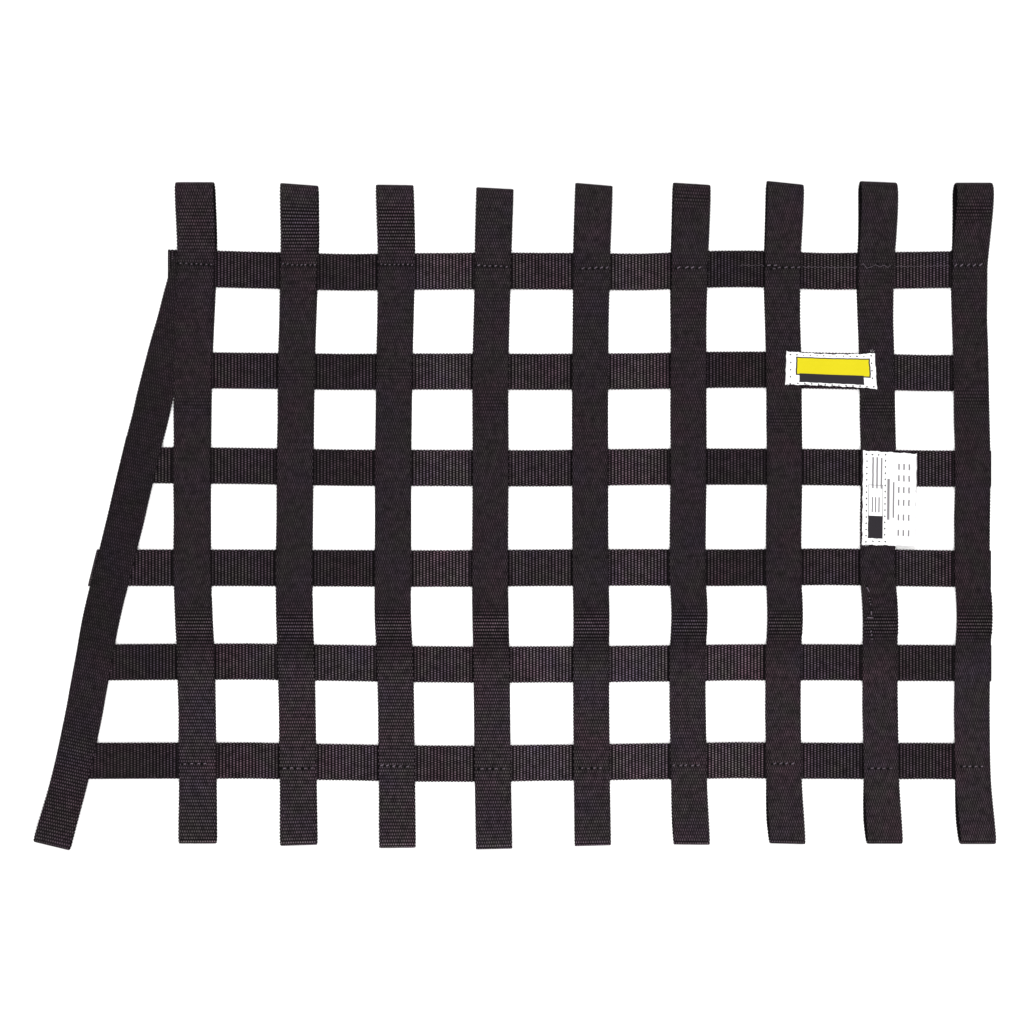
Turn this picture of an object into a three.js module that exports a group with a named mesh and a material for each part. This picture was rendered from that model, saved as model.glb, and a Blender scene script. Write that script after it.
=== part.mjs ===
// Racing window net of flat webbing, lying spread out with its rod loops standing open.
// Lengths are millimetres. X runs along the net, Y up it, Z away from the surface it lies on.
// Nine upright straps, each a closed band of webbing, hold six cross straps between their
// front and back layers. A slanted band closes the left side. The bands reach past the top
// and bottom cross straps as loops that a rod slides through.

import * as THREE from 'three';

// Webbing, and how its layers lie on each other
const webThickness = 1.4;
const layerGap = 0.3;
const layerStep = webThickness + layerGap;
const backLayer = webThickness / 2;
const crossLayer = backLayer + layerStep;
const frontLayer = crossLayer + layerStep;

// Folds, dips and the sewn joint of each upright band. At the joint the upper end has risen by
// one layer, over jointRise, when it is still jointClear above the lower end.
const foldFacets = 7;
const loopSteps = 4;
const baySteps = 4;
const flatRun = 0.6;
const frontDip = 1.4;
const crossSag = 0.9;
const jointTop = -60;
const jointBottom = -86;
const jointRise = 5.5;
const jointClear = 1;
const rowsAboveJoint = 4;
const loopRoot = 191;
const loopLean = 40;

// Where the first upright strap comes down from the slanted strap that lies under it
const stepDownFrom = 69;
const stepDownTo = 46;

// The slanted strap: how far its sections turn from square, and where its layers end
const slantTurn = THREE.MathUtils.degToRad(13.6);
const slantTop = 178.5;
const slantBackEnd = 50;
const slantFlatRun = 3.9;
const slantEdge = 13.3;
const slantCut = 0.25;

// Labels. A sewn share is the share of a label's length that is sewn down at an end.
const labelThickness = 1;
const labelLayer = frontLayer + webThickness / 2 + layerGap + labelThickness / 2;
const patchDip = 1.3;
const patchSewnShare = 0.2;
const patchSteps = 6;
const flapDrop = 1.2;
const sideSewnShare = 0.62;
const flapSteps = 5;

// The middle of the net's own outline, which becomes the origin
const netMiddle = { x: 1.379, y: -2.713 };

// Cross straps, top to bottom. row is the height at which each one runs. The bay columns say
// how far it wanders from its row at its left end, in each bay between two uprights, and at
// its right end. start and end are its ends, and start is null where it is cut along the
// slanted strap, cutIn inside that strap's left edge.
const crossTable = table(
  ['name', 'row', 'width', 'start', 'cutIn', 'end',
    'left', 'bay1', 'bay2', 'bay3', 'bay4', 'bay5', 'bay6', 'bay7', 'bay8', 'right'],
  [
    ['cross_1', 169.3, 25.7, -241.5, 0, 332.3, 1.9, 0.7, -1.0, -0.3, -0.2, -0.7, 1.4, -0.3, 0.6, 0.9],
    ['cross_2', 98.8, 25.3, null, 1.5, 333.0, 0.8, 0.4, -0.4, -0.2, -0.4, 0, 1.1, 0.3, -1.2, -1.3],
    ['cross_3', 31.5, 25.4, null, 1.5, 336.3, 1.5, 0.8, -0.4, -0.6, -0.8, 0.1, 0.3, -0.1, -1.0, -1.2],
    ['cross_4', -39.2, 25.6, null, -2.2, 336.4, 0.1, 0, -0.3, -0.5, 0, 0.3, 0.1, 0.7, -0.3, -0.8],
    ['cross_5', -106.0, 25.3, null, 1.5, 336.4, 0.4, 1.0, 0, -1.0, -1.0, -0.5, 0.4, 0.5, 0, 0],
    ['cross_6', -175.2, 25.3, null, 1.5, 334.4, 0.5, 0.7, -0.5, -1.5, -0.9, 0, 0.9, 0.5, 0.4, 0.2],
  ],
);

// Bands, left to right. Each column from top to bottom is the place along X of the strap's
// middle line at its top end, at the root of its top loop, at each cross strap, at the sewn
// joint and at its bottom end.
const placeColumns = ['top', 'root', 'row1', 'row2', 'row3', 'row4', 'joint', 'row5', 'row6', 'bottom'];
const bandTable = table(
  ['name', 'width', ...placeColumns],
  [
    ['slant_strap', 25.3, -223.6, null, -226.5, -245.6, -262.1, -279.0, -287.6, -293.5, -307.1, -322.6],
    ['strap_1', 25.6, -221.8, -221.2, -221.6, -223.5, -224.3, -224.2, -223.3, -221.7, -220.6, -220.1],
    ['strap_2', 25.2, -148.8, -149.0, -149.7, -151.3, -152.1, -152.8, -152.6, -151.4, -150.2, -149.3],
    ['strap_3', 24.9, -82.0, -81.4, -81.4, -82.6, -83.4, -83.5, -83.6, -82.0, -80.9, -80.2],
    ['strap_4', 24.9, -11.9, -13.0, -13.4, -15.1, -15.0, -15.4, -15.1, -14.4, -13.6, -12.5],
    ['strap_5', 24.8, 57.3, 56.4, 56.0, 54.8, 54.7, 55.0, 55.6, 55.4, 55.8, 56.6],
    ['strap_6', 24.7, 125.6, 125.2, 124.5, 123.6, 123.6, 123.0, 124.2, 122.9, 123.7, 125.9],
    ['strap_7', 24.3, 191.0, 190.4, 189.6, 190.4, 190.9, 190.2, 191.2, 190.0, 190.2, 192.5],
    ['strap_8', 24.2, 255.8, 256.5, 255.2, 255.7, 256.7, 256.3, 258.0, 257.7, 258.2, 260.0],
    ['strap_9', 24.3, 322.2, 322.2, 320.9, 321.6, 322.8, 322.4, 324.0, 322.6, 322.5, 325.5],
  ],
);

// Rod loops of the same bands. end is the outermost line of the fold, drop how much lower its
// right corner is than its left, and height how far the loop stands open, outside measure.
// over is how far the strap's upper part is raised by the slanted strap beneath it.
const loopTable = table(
  ['name', 'topEnd', 'topDrop', 'topHeight', 'bottomEnd', 'bottomDrop', 'bottomHeight', 'over'],
  [
    ['slant_strap', slantTop, 0, 0, -234.1, 0, 8.2, 0],
    ['strap_1', 230.8, 0, 12.4, -232.4, 0, 8.6, layerStep],
    ['strap_2', 229.4, 2.0, 10.6, -233.6, -0.8, 9.0, 0],
    ['strap_3', 228.8, 0.4, 12.8, -235.3, -0.3, 9.2, 0],
    ['strap_4', 226.7, 1.6, 11.0, -236.3, -0.6, 8.0, 0],
    ['strap_5', 229.2, 2.2, 12.6, -233.9, -0.6, 8.2, 0],
    ['strap_6', 229.6, 1.6, 12.8, -233.1, 0.2, 8.2, 0],
    ['strap_7', 230.4, 2.6, 12.0, -232.5, 0.6, 8.4, 0],
    ['strap_8', 230.7, 1.0, 15.0, -232.5, 0, 8.4, 0],
    ['strap_9', 230.0, 0, 16.0, -232.6, 0, 8.8, 0],
  ],
);

// How far each band's back layer lies to the right of its front layer: at the top cross
// strap, along the middle rows and at the bottom cross strap. At the folds it is nothing.
const backTable = table(
  ['name', 'atTop', 'atRows', 'atBottom'],
  [
    ['slant_strap', 0, -0.8, -0.6],
    ['strap_1', 0.3, 0, 0],
    ['strap_2', 0, 0, 0],
    ['strap_3', 0, 0, 0],
    ['strap_4', 0, 0, 0],
    ['strap_5', -0.5, 0.2, 0.3],
    ['strap_6', -0.8, 0.5, 0.6],
    ['strap_7', 0, 0.6, 0.5],
    ['strap_8', 0, 0.7, 0.7],
    ['strap_9', 0.2, 0.9, 0.8],
  ],
);

// Labels as strips that run along X. Each end has its middle, its width and its skew, which
// is how far the cut leans to the right for each unit up.
const labelTable = table(
  ['name', 'leftX', 'leftY', 'leftWidth', 'leftSkew', 'rightX', 'rightY', 'rightWidth', 'rightSkew'],
  [
    ['label_patch', 191.9, 101.0, 23.9, 0.035, 254.7, 98.8, 25.5, -0.066],
    ['label_side', 245.6, 10.1, 66.1, 0.013, 283.2, 8.4, 64.8, 0.01],
  ],
);

const webbing = new THREE.MeshStandardMaterial({ color: 0x2a2628, roughness: 0.85, metalness: 0 });
const labelCloth = new THREE.MeshStandardMaterial({ color: 0xf1efec, roughness: 0.8, metalness: 0 });

// Rows of values as objects with named columns.
function table(columns, rows) {
  return rows.map((row) => Object.fromEntries(columns.map((column, i) => [column, row[i]])));
}

// A smooth line through knots of the form [place, value], sorted by place.
function follow(knots, place) {
  const last = knots.length - 1;
  const slope = (i) => {
    const [a, b] = [knots[Math.max(i - 1, 0)], knots[Math.min(i + 1, last)]];
    return (b[1] - a[1]) / (b[0] - a[0]);
  };
  const next = Math.min(Math.max(knots.findIndex((knot) => knot[0] > place), 1), last);
  const i = knots[last][0] <= place ? last - 1 : next - 1;
  const run = knots[i + 1][0] - knots[i][0];
  const u = THREE.MathUtils.clamp((place - knots[i][0]) / run, 0, 1);
  const rise = u * u * (3 - 2 * u);
  const leave = u * (1 - u) * (1 - u) * run * slope(i);
  const arrive = u * u * (u - 1) * run * slope(i + 1);
  return knots[i][1] * (1 - rise) + knots[i + 1][1] * rise + leave + arrive;
}

// Values spaced evenly from one end to the other, both ends left out.
function between(from, to, steps) {
  return Array.from({ length: steps - 1 }, (_, i) => from + ((to - from) * (i + 1)) / steps);
}

// A strip is a box whose cross-sections are set one after another along its path. Each
// station has the middle of a section and the direction across the strip, which is of unit
// length where the strip has its full width.
function stripMesh(name, width, thickness, stations, material) {
  const steps = stations.length - 1;
  const geometry = new THREE.BoxGeometry(width, thickness, steps, 1, 1, steps);
  const corners = geometry.attributes.position;
  const sections = stations.map((station, i) => sectionAt(stations, i));
  const corner = new THREE.Vector3();
  for (let i = 0; i < corners.count; i += 1) {
    const { middle, across, face } = sections[Math.round(corners.getZ(i) + steps / 2)];
    corner.copy(middle);
    corner.addScaledVector(across, corners.getX(i));
    corner.addScaledVector(face, corners.getY(i));
    corners.setXYZ(i, corner.x, corner.y, corner.z);
  }
  geometry.computeVertexNormals();
  const mesh = new THREE.Mesh(geometry, material);
  mesh.name = name;
  return mesh;
}

// A section leans halfway between the stretch before it and the stretch after it, and is
// stretched so that the strip keeps its thickness round the bend.
function sectionAt(stations, i) {
  const { middle, across } = stations[i];
  const before = stations[Math.max(i - 1, 0)].middle;
  const after = stations[Math.min(i + 1, stations.length - 1)].middle;
  const leaving = i < stations.length - 1 ? after.clone().sub(middle) : middle.clone().sub(before);
  const arriving = i > 0 ? middle.clone().sub(before) : leaving.clone();
  leaving.normalize();
  const along = arriving.normalize().add(leaving).normalize();
  const square = new THREE.Vector3(across.x, across.y, 0).normalize();
  const face = along.clone().cross(square).normalize().divideScalar(along.dot(leaving));
  return { middle, across, face };
}

// Everything that is known of one band: its place along X, its loops and its back layer.
function readBand(place) {
  const named = (row) => row.name === place.name;
  const loops = loopTable.find(named);
  const back = backTable.find(named);
  const rows = crossTable.map((cross) => cross.row);
  const joint = (jointTop + jointBottom) / 2;
  const [upper, lower] = [rows.slice(0, rowsAboveJoint), rows.slice(rowsAboveJoint)];
  const levels = [loops.topEnd, loopRoot, ...upper, joint, ...lower, loops.bottomEnd];
  const knots = placeColumns
    .map((column, i) => [levels[i], place[column]])
    .filter((knot) => knot[1] !== null)
    .reverse();
  const backKnots = [
    [loops.bottomEnd, 0],
    [rows.at(-1), back.atBottom],
    [rows.at(-2), back.atRows],
    [rows[1], back.atRows],
    [rows[0], back.atTop],
    [loops.topEnd, 0],
  ];
  return { ...place, ...loops, knots, backKnots };
}

// One station of a band at height y up the net and z off the surface. share is 0 on the
// front layer and 1 on the back layer. Near each fold the section turns until it lies along
// the fold's own line.
function bandStation(band, [y, z, share], turn) {
  const lean = THREE.MathUtils.smoothstep(
    Math.abs(y),
    Math.abs(band.bottomEnd) - loopLean,
    Math.abs(band.bottomEnd),
  );
  const drop = ((y > 0 ? band.topDrop : band.bottomDrop) * lean) / band.width;
  const x = follow(band.knots, y) + share * follow(band.backKnots, y);
  return {
    middle: new THREE.Vector3(x, y, z),
    across: new THREE.Vector3(Math.cos(turn), -Math.sin(turn) - drop, 0),
  };
}

// Height of a band's front layer at y, dipping by dip where nothing but cross straps lies
// beneath it.
function frontHeight(band, y, dip) {
  const raised = band.over > 0 ? THREE.MathUtils.smoothstep(y, stepDownTo, stepDownFrom) : 0;
  return frontLayer + band.over * raised - dip * (1 - raised);
}

// The front layer from the bottom cross strap to the top one, as [y, z, 0]. It lies flat on
// each cross strap and for flat beyond it, and dips between them, but not over the joint of
// the back layer.
function frontRun(band, flat, hasJoint) {
  const run = [];
  crossTable.toReversed().forEach((cross, i, rows) => {
    const reach = cross.width / 2 + flat;
    const edge = cross.row + reach;
    run.push([cross.row - reach, frontHeight(band, cross.row - reach, 0), 0]);
    run.push([edge, frontHeight(band, edge, 0), 0]);
    const above = rows[i + 1];
    if (!above) {
      return;
    }
    const nextEdge = above.row - above.width / 2 - flat;
    const overJoint = hasJoint && edge < jointBottom && nextEdge > jointTop;
    const dip = overJoint ? 0 : frontDip;
    for (const y of between(edge, nextEdge, baySteps)) {
      const share = Math.sin((Math.PI * (y - edge)) / (nextEdge - edge)) ** 2;
      run.push([y, frontHeight(band, y, dip * share), 0]);
    }
  });
  return run;
}

// The front layer of a rod loop as [y, z, 0], from the cross strap's edge to where the fold
// starts, both left out. It rises smoothly to the loop's full height.
function loopRun(from, to, low, high) {
  return between(from, to, loopSteps).map((y) => {
    const share = THREE.MathUtils.smoothstep(Math.abs(y), Math.abs(from), Math.abs(to));
    return [y, low + (high - low) * share, 0];
  });
}

// The fold of a rod loop as [y, z, share], a half circle of flat facets. side is 1 for the
// top and -1 for the bottom, and the fold starts at the front layer.
function foldRun(end, height, side) {
  const radius = (height - webThickness) / 2;
  const centre = end - side * (height / 2);
  return Array.from({ length: foldFacets + 1 }, (_, i) => {
    const share = i / foldFacets;
    const angle = Math.PI * share;
    return [centre + side * radius * Math.sin(angle), height / 2 + radius * Math.cos(angle), share];
  });
}

// Heights at which the back layer gets a station: each cross strap and each bay's middle.
function backLevels(from, to) {
  const rows = crossTable.map((cross) => cross.row);
  const bays = rows.slice(1).map((row, i) => (row + rows[i]) / 2);
  return [...rows, ...bays].filter((y) => y < from && y > to).sort((a, b) => b - a);
}

// An upright strap: one length of webbing. It starts at the joint, runs down the back, folds
// at the bottom, runs up the front, folds at the top and comes down the back to the joint,
// where it lies over its own beginning.
function uprightStrap(place) {
  const band = readBand(place);
  const onBack = (y) => [y, backLayer, 1];
  const bottomFold = foldRun(band.bottomEnd, band.bottomHeight, -1);
  const topFold = foldRun(band.topEnd, band.topHeight, 1);
  const front = frontRun(band, flatRun, true);
  const [lowest, highest] = [front[0], front.at(-1)];
  const lapStart = jointTop + jointClear;
  const riseStart = lapStart + jointRise;
  const path = [
    ...[jointTop, ...backLevels(jointTop - jointRise, bottomFold.at(-1)[0])].map(onBack),
    ...bottomFold.toReversed(),
    ...loopRun(lowest[0], bottomFold[0][0], lowest[1], bottomFold[0][1]).reverse(),
    ...front,
    ...loopRun(highest[0], topFold[0][0], highest[1], topFold[0][1]),
    ...topFold,
    ...[...backLevels(topFold.at(-1)[0], riseStart + jointRise), riseStart].map(onBack),
    ...[lapStart, (jointTop + jointBottom) / 2, jointBottom].map((y) => [y, crossLayer, 1]),
  ];
  const stations = path.map((point) => bandStation(band, point, 0));
  return stripMesh(band.name, band.width, webThickness, stations, webbing);
}

// The slanted strap: its front layer starts on the top cross strap, under the first upright,
// and runs down over the ends of the others to its own loop. Its back layer comes up again
// behind them and ends above the third cross strap.
function slantStrap(place) {
  const band = readBand(place);
  const fold = foldRun(band.bottomEnd, band.bottomHeight, -1);
  const front = frontRun(band, slantFlatRun, false);
  front[front.length - 1][0] = slantTop;
  const path = [
    ...[slantBackEnd, ...backLevels(slantBackEnd, fold.at(-1)[0])].map((y) => [y, backLayer, 1]),
    ...fold.toReversed(),
    ...loopRun(front[0][0], fold[0][0], front[0][1], fold[0][1]).reverse(),
    ...front,
  ];
  const stations = path.map((point) => bandStation(band, point, slantTurn));
  return stripMesh(band.name, band.width, webThickness, stations, webbing);
}

// A cross strap: flat where it lies between the layers of a band, and sagging a little in
// each bay. Its left end is cut square, or along the slanted strap.
function crossStrap(cross, bands, slant) {
  const places = bands.map((band) => follow(band.knots, cross.row));
  const slantEdgeX = follow(slant.knots, cross.row) - slantEdge;
  const start = cross.start ?? slantEdgeX + cross.cutIn;
  const middles = places.slice(1).map((x, i) => (x + places[i]) / 2);
  const wander = [
    [start, cross.left],
    ...middles.map((x, i) => [x, cross[`bay${i + 1}`]]),
    [cross.end, cross.right],
  ];
  const station = (x, z, skew = 0) => ({
    middle: new THREE.Vector3(x, cross.row + follow(wander, x), z),
    across: new THREE.Vector3(-skew, -1, 0),
  });
  const stations = [station(start, crossLayer, cross.start === null ? slantCut : 0)];
  bands.forEach((band, i) => {
    const reach = band.width / 2 + flatRun;
    const from = places[i] + reach;
    stations.push(station(places[i] - reach, crossLayer));
    if (i === bands.length - 1) {
      stations.push(station(cross.end, crossLayer));
      return;
    }
    stations.push(station(from, crossLayer));
    const to = places[i + 1] - bands[i + 1].width / 2 - flatRun;
    for (const x of between(from, to, baySteps)) {
      const share = Math.sin((Math.PI * (x - from)) / (to - from)) ** 2;
      stations.push(station(x, crossLayer - crossSag * share));
    }
  });
  return stripMesh(cross.name, cross.width, webThickness, stations, webbing);
}

// A label: a strip along X. drop says how far below the flat height it is at each share of
// its length.
function labelStrip(label, shares, drop) {
  const stations = shares.map((share) => {
    const mix = (a, b) => THREE.MathUtils.lerp(a, b, share);
    const skew = mix(label.leftSkew, label.rightSkew);
    const width = mix(label.leftWidth, label.rightWidth) / label.leftWidth;
    const middle = new THREE.Vector3(
      mix(label.leftX, label.rightX),
      mix(label.leftY, label.rightY),
      labelLayer - drop(share),
    );
    return { middle, across: new THREE.Vector3(-skew, -1, 0).multiplyScalar(width) };
  });
  return stripMesh(label.name, label.leftWidth, labelThickness, stations, labelCloth);
}

// The patch label bridges two uprights and dips to the cross strap between them.
function patchLabel(label) {
  const [from, to] = [patchSewnShare, 1 - patchSewnShare];
  const shares = [0, from, ...between(from, to, patchSteps), to, 1];
  const dip = (share) => THREE.MathUtils.smoothstep(Math.min(share, 1 - share), from, 0.5);
  return labelStrip(label, shares, (share) => patchDip * dip(share));
}

// The side label is sewn flat on its upright, and the rest is a flap that droops.
function sideLabel(label) {
  const shares = [0, sideSewnShare, ...between(sideSewnShare, 1, flapSteps), 1];
  return labelStrip(label, shares, (share) => flapDrop * THREE.MathUtils.smoothstep(share, sideSewnShare, 1));
}

const [slantPlace, ...uprightPlaces] = bandTable;
const uprights = uprightPlaces.map(readBand);
const net = new THREE.Group();
net.add(...uprightPlaces.map(uprightStrap));
net.add(slantStrap(slantPlace));
net.add(...crossTable.map((cross) => crossStrap(cross, uprights, readBand(slantPlace))));
net.add(patchLabel(labelTable[0]), sideLabel(labelTable[1]));
net.position.set(-netMiddle.x, -netMiddle.y, 0);

export default net;
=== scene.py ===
"""Racing window net of flat webbing: cloth, sewing, labels and stage around its solids.

The net lies spread out on the floor with its rod loops standing open. X runs along it, Y up
it and Z away from the floor. Tables and formulas are in millimetres, with the photographed
middle as their zero, and put_mesh turns them into metres in the frame's own place.
"""

import math

import bpy
import numpy as np
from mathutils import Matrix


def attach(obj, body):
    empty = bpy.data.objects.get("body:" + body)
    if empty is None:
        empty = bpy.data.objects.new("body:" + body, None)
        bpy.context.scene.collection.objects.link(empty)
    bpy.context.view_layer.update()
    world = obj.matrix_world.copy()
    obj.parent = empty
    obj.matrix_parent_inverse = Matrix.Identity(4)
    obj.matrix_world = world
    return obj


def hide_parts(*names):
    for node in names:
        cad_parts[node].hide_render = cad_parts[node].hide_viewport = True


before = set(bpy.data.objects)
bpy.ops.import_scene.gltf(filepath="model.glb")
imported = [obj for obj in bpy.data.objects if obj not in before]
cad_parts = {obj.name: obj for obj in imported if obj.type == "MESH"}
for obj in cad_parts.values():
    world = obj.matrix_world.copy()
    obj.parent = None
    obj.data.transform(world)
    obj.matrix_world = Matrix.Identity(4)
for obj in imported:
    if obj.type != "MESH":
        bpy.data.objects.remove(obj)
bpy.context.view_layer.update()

bl_info = {
    "name": "Racing window net",
    "version": (1, 0, 0),
    "blender": (4, 5, 0),
    "location": "View3D > Sidebar > Window net",
    "description": "Webbing, sewing, labels and stage of a racing window net",
    "category": "Object",
}

# The middle of the net's outline, which is the frame's origin
MIDDLE_X = 1.379
MIDDLE_Y = -2.713

# Distance between the points of a strap's line before it is divided into ribs
PATH_STEP = 0.3

# Heights of the middle of each layer, the step between two layers, and the webbing's thickness
BACK_LAYER = 0.7
CROSS_LAYER = 2.4
FRONT_LAYER = 4.1
LAYER_STEP = 1.7
WEB_THICKNESS = 1.4

# The bands: how far each lies flat beside a cross strap, how far the front layer dips between
# two cross straps, how far a cross strap sags in a bay, the lapped joint at the back with its
# rise and clearance, where the top loops begin, how far from a fold the cut begins to lean,
# where the back layer lies furthest aside in a bottom loop, how much wider the webbing lies
# than its own width and round a top loop, and where strap 1 comes down off the slanted strap
FLAT_RUN = 0.6
FRONT_DIP = 1.4
CROSS_SAG = 0.9
JOINT_TOP = -60.0
JOINT_BOTTOM = -86.0
JOINT_RISE = 5.5
JOINT_CLEAR = 1.0
LOOP_ROOT = 191.0
LOOP_LEAN = 40.0
LOOP_SHIFT = 18.0
BAND_SPREAD = 0.01
LOOP_SPREAD = 0.026
STEP_DOWN_FROM = 69.0
STEP_DOWN_TO = 46.0

# The slanted strap: its turn, its top end, the end of its back layer, how far its left edge is
# from its middle, how slanting the cross straps' ends are cut and over what length, and how far
# it lies flat beside a cross strap
SLANT_TURN = math.radians(13.6)
SLANT_TOP = 178.5
SLANT_BACK_END = 50.0
SLANT_EDGE = 13.3
SLANT_CUT = 0.25
SLANT_CUT_RUN = 12.0
SLANT_FLAT_RUN = 3.9

# Cross straps, top to bottom: the row each runs at, its width, its ends (start is None where
# it is cut along the slanted strap, cut_in inside that strap's edge) and how far it wanders
# from its row at its left end, in each bay and at its right end
CROSS_COLUMNS = ("name", "row", "width", "start", "cut_in", "end", "wander")
CROSS_TABLE = (
    ("cross_1", 169.3, 25.7, -241.5, 0.0, 332.3, (1.9, 0.7, -1.0, -0.3, -0.2, -0.7, 1.4, -0.3, 0.6, 0.9)),
    ("cross_2", 98.8, 25.3, None, 1.5, 333.0, (0.8, 0.4, -0.4, -0.2, -0.4, 0.0, 1.1, 0.3, -1.2, -1.3)),
    ("cross_3", 31.5, 25.4, None, 1.5, 336.3, (1.5, 0.8, -0.4, -0.6, -0.8, 0.1, 0.3, -0.1, -1.0, -1.2)),
    ("cross_4", -39.2, 25.6, None, -2.2, 336.4, (0.1, 0.0, -0.3, -0.5, 0.0, 0.3, 0.1, 0.7, -0.3, -0.8)),
    ("cross_5", -106.0, 25.3, None, 1.5, 336.4, (0.4, 1.0, 0.0, -1.0, -1.0, -0.5, 0.4, 0.5, 0.0, 0.0)),
    ("cross_6", -175.2, 25.3, None, 1.5, 334.4, (0.5, 0.7, -0.5, -1.5, -0.9, 0.0, 0.9, 0.5, 0.4, 0.2)),
)

# Bands, left to right: width, then the place along X of the middle line at the top end, the
# root of the top loop, cross straps 1 to 4, the sewn joint, cross straps 5 and 6, and the
# bottom end
BAND_COLUMNS = ("name", "width", "places")
BAND_TABLE = (
    ("slant_strap", 25.3, (-223.6, None, -226.5, -245.6, -262.1, -279.0, -287.6, -293.5, -307.1, -322.6)),
    ("strap_1", 25.6, (-221.8, -221.2, -221.6, -223.5, -224.3, -224.2, -223.3, -221.7, -220.6, -220.1)),
    ("strap_2", 25.2, (-148.8, -149.0, -149.7, -151.3, -152.1, -152.8, -152.6, -151.4, -150.2, -149.3)),
    ("strap_3", 24.9, (-82.0, -81.4, -81.4, -82.6, -83.4, -83.5, -83.6, -82.0, -80.9, -80.2)),
    ("strap_4", 24.9, (-11.9, -13.0, -13.4, -15.1, -15.0, -15.4, -15.1, -14.4, -13.6, -12.5)),
    ("strap_5", 24.8, (57.3, 56.4, 56.0, 54.8, 54.7, 55.0, 55.6, 55.4, 55.8, 56.6)),
    ("strap_6", 24.7, (125.6, 125.2, 124.5, 123.6, 123.6, 123.0, 124.2, 122.9, 123.7, 125.9)),
    ("strap_7", 24.3, (191.0, 190.4, 189.6, 190.4, 190.9, 190.2, 191.2, 190.0, 190.4, 192.9)),
    ("strap_8", 24.2, (255.8, 256.5, 255.2, 255.7, 256.7, 256.3, 258.0, 257.8, 258.7, 261.0)),
    ("strap_9", 24.3, (322.2, 322.2, 320.9, 321.6, 322.8, 322.4, 324.0, 322.6, 322.8, 326.2)),
)

# Rod loops of the same bands: outermost line of each fold, how much lower its right corner
# is, how far the loop stands open, how far the upper part is raised by the slanted strap,
# and how far the back layer lies to the right at the top, in the middle, at the bottom cross
# strap and inside the bottom loop
LOOP_COLUMNS = ("top_end", "top_drop", "top_height", "bottom_end", "bottom_drop", "bottom_height",
                "over", "back_top", "back_rows", "back_bottom", "back_loop")
LOOP_TABLE = (
    (SLANT_TOP, 0.0, 0.0, -234.1, 0.0, 8.2, 0.0, 0.0, -0.8, -0.6, -0.3),
    (230.8, 0.0, 12.4, -232.4, 0.0, 8.6, LAYER_STEP, 1.0, 0.0, 0.0, 0.0),
    (229.4, 2.0, 10.6, -233.6, -0.8, 9.0, 0.0, 0.7, 0.0, 0.0, 0.0),
    (228.8, 0.4, 12.8, -235.3, -0.3, 9.2, 0.0, 0.5, 0.0, 0.0, 0.0),
    (226.7, 1.6, 11.0, -236.3, -0.6, 8.0, 0.0, 0.0, 0.0, 0.0, 0.0),
    (229.2, 2.2, 12.6, -233.9, -0.6, 8.2, 0.0, -0.5, 0.2, 0.3, 0.1),
    (229.6, 1.6, 12.8, -233.1, 0.2, 8.2, 0.0, -0.8, 0.5, 0.6, -0.4),
    (230.4, 2.6, 12.0, -232.5, 0.6, 8.4, 0.0, -0.5, 0.6, 0.5, -1.0),
    (230.7, 1.0, 15.0, -232.5, 0.0, 8.4, 0.0, -1.0, 0.7, 0.7, -1.1),
    (230.0, 0.0, 16.0, -232.6, 0.0, 8.8, 0.0, -0.3, 0.9, 0.8, -0.9),
)

# Places where an upright was bent and its weave stands open: upright, height, reach, strength
CREASES = (
    (1, 76.0, 9.0, 0.22), (2, 96.0, 6.0, 0.18), (3, 98.0, 5.0, 0.18), (4, 76.0, 8.0, 0.22),
    (6, 219.0, 6.0, 0.35), (7, 64.0, 7.0, 0.28), (8, 73.0, 7.0, 0.34), (9, 80.0, 7.0, 0.28),
    (9, 210.0, 7.0, 0.4),
)

# Labels: the middle, width and skew of the left end, then of the right end, where skew is how
# far the cut leans to the right for each unit up, how far the top and the bottom edge are drawn
# in, the left, right, top and bottom line of the seam, the flat size in metres, and the pitch
# of the stitches
LABEL_COLUMNS = ("name", "left", "left_width", "left_skew", "right", "right_width", "right_skew",
                 "drawn_in", "seam", "flat", "pitch")
LABEL_TABLE = (
    ("label_patch", (191.9, 101.0), 23.9, 0.035, (254.7, 98.8), 25.5, -0.066,
     (1.6, 0.8), (3.2, 60.2, 9.3, -10.5), (0.026, 0.0635), 4.7),
    ("label_side", (245.6, 10.1), 66.1, 0.013, (283.2, 8.4), 64.8, 0.01,
     (0.1, 0.1), (2.6, 15.6, 30.5, -30.4), (0.038, 0.0655), 4.2),
)

# Label cloth: its thickness, how far and how wide a seam draws it down, the distance between
# the points of its grid, its layer, how far the patch dips between the uprights and the flap
# droops, and how much of each label is sewn down
LABEL_THICKNESS = 0.5
SEAM_DEPTH = 0.12
SEAM_WIDTH = 0.8
LABEL_STEP = 0.6
LABEL_LAYER = FRONT_LAYER + WEB_THICKNESS / 2 + 0.1 + LABEL_THICKNESS / 2
PATCH_DIP = 1.3
PATCH_SEWN_SHARE = 0.2
FLAP_DROP = 1.2
SIDE_SEWN_SHARE = 0.62

# Loose fibres at the labels' cut edges: where each starts, from the label's left end and its
# middle line, and how far it reaches
FRAYS = {
    "label_patch": (
        (60.6, 12.4, 0.6, 1.9), (61.4, 12.2, 1.3, 1.2), (60.0, 12.5, -0.3, 1.4), (1.2, -11.4, -1.4, -0.6),
        (2.0, -11.7, -0.9, -1.1), (0.4, 3.1, -0.9, 0.4), (62.0, -12.0, 1.1, -0.5),
    ),
    "label_side": (
        (1.0, -32.0, -1.2, -0.8), (2.0, -32.4, 1.6, -1.4), (3.2, -32.6, 1.4, -0.9), (0.8, -31.0, -1.3, 0.3),
        (2.8, -32.5, -0.5, -1.6), (0.5, -29.0, -1.0, -0.4),
    ),
}

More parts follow.
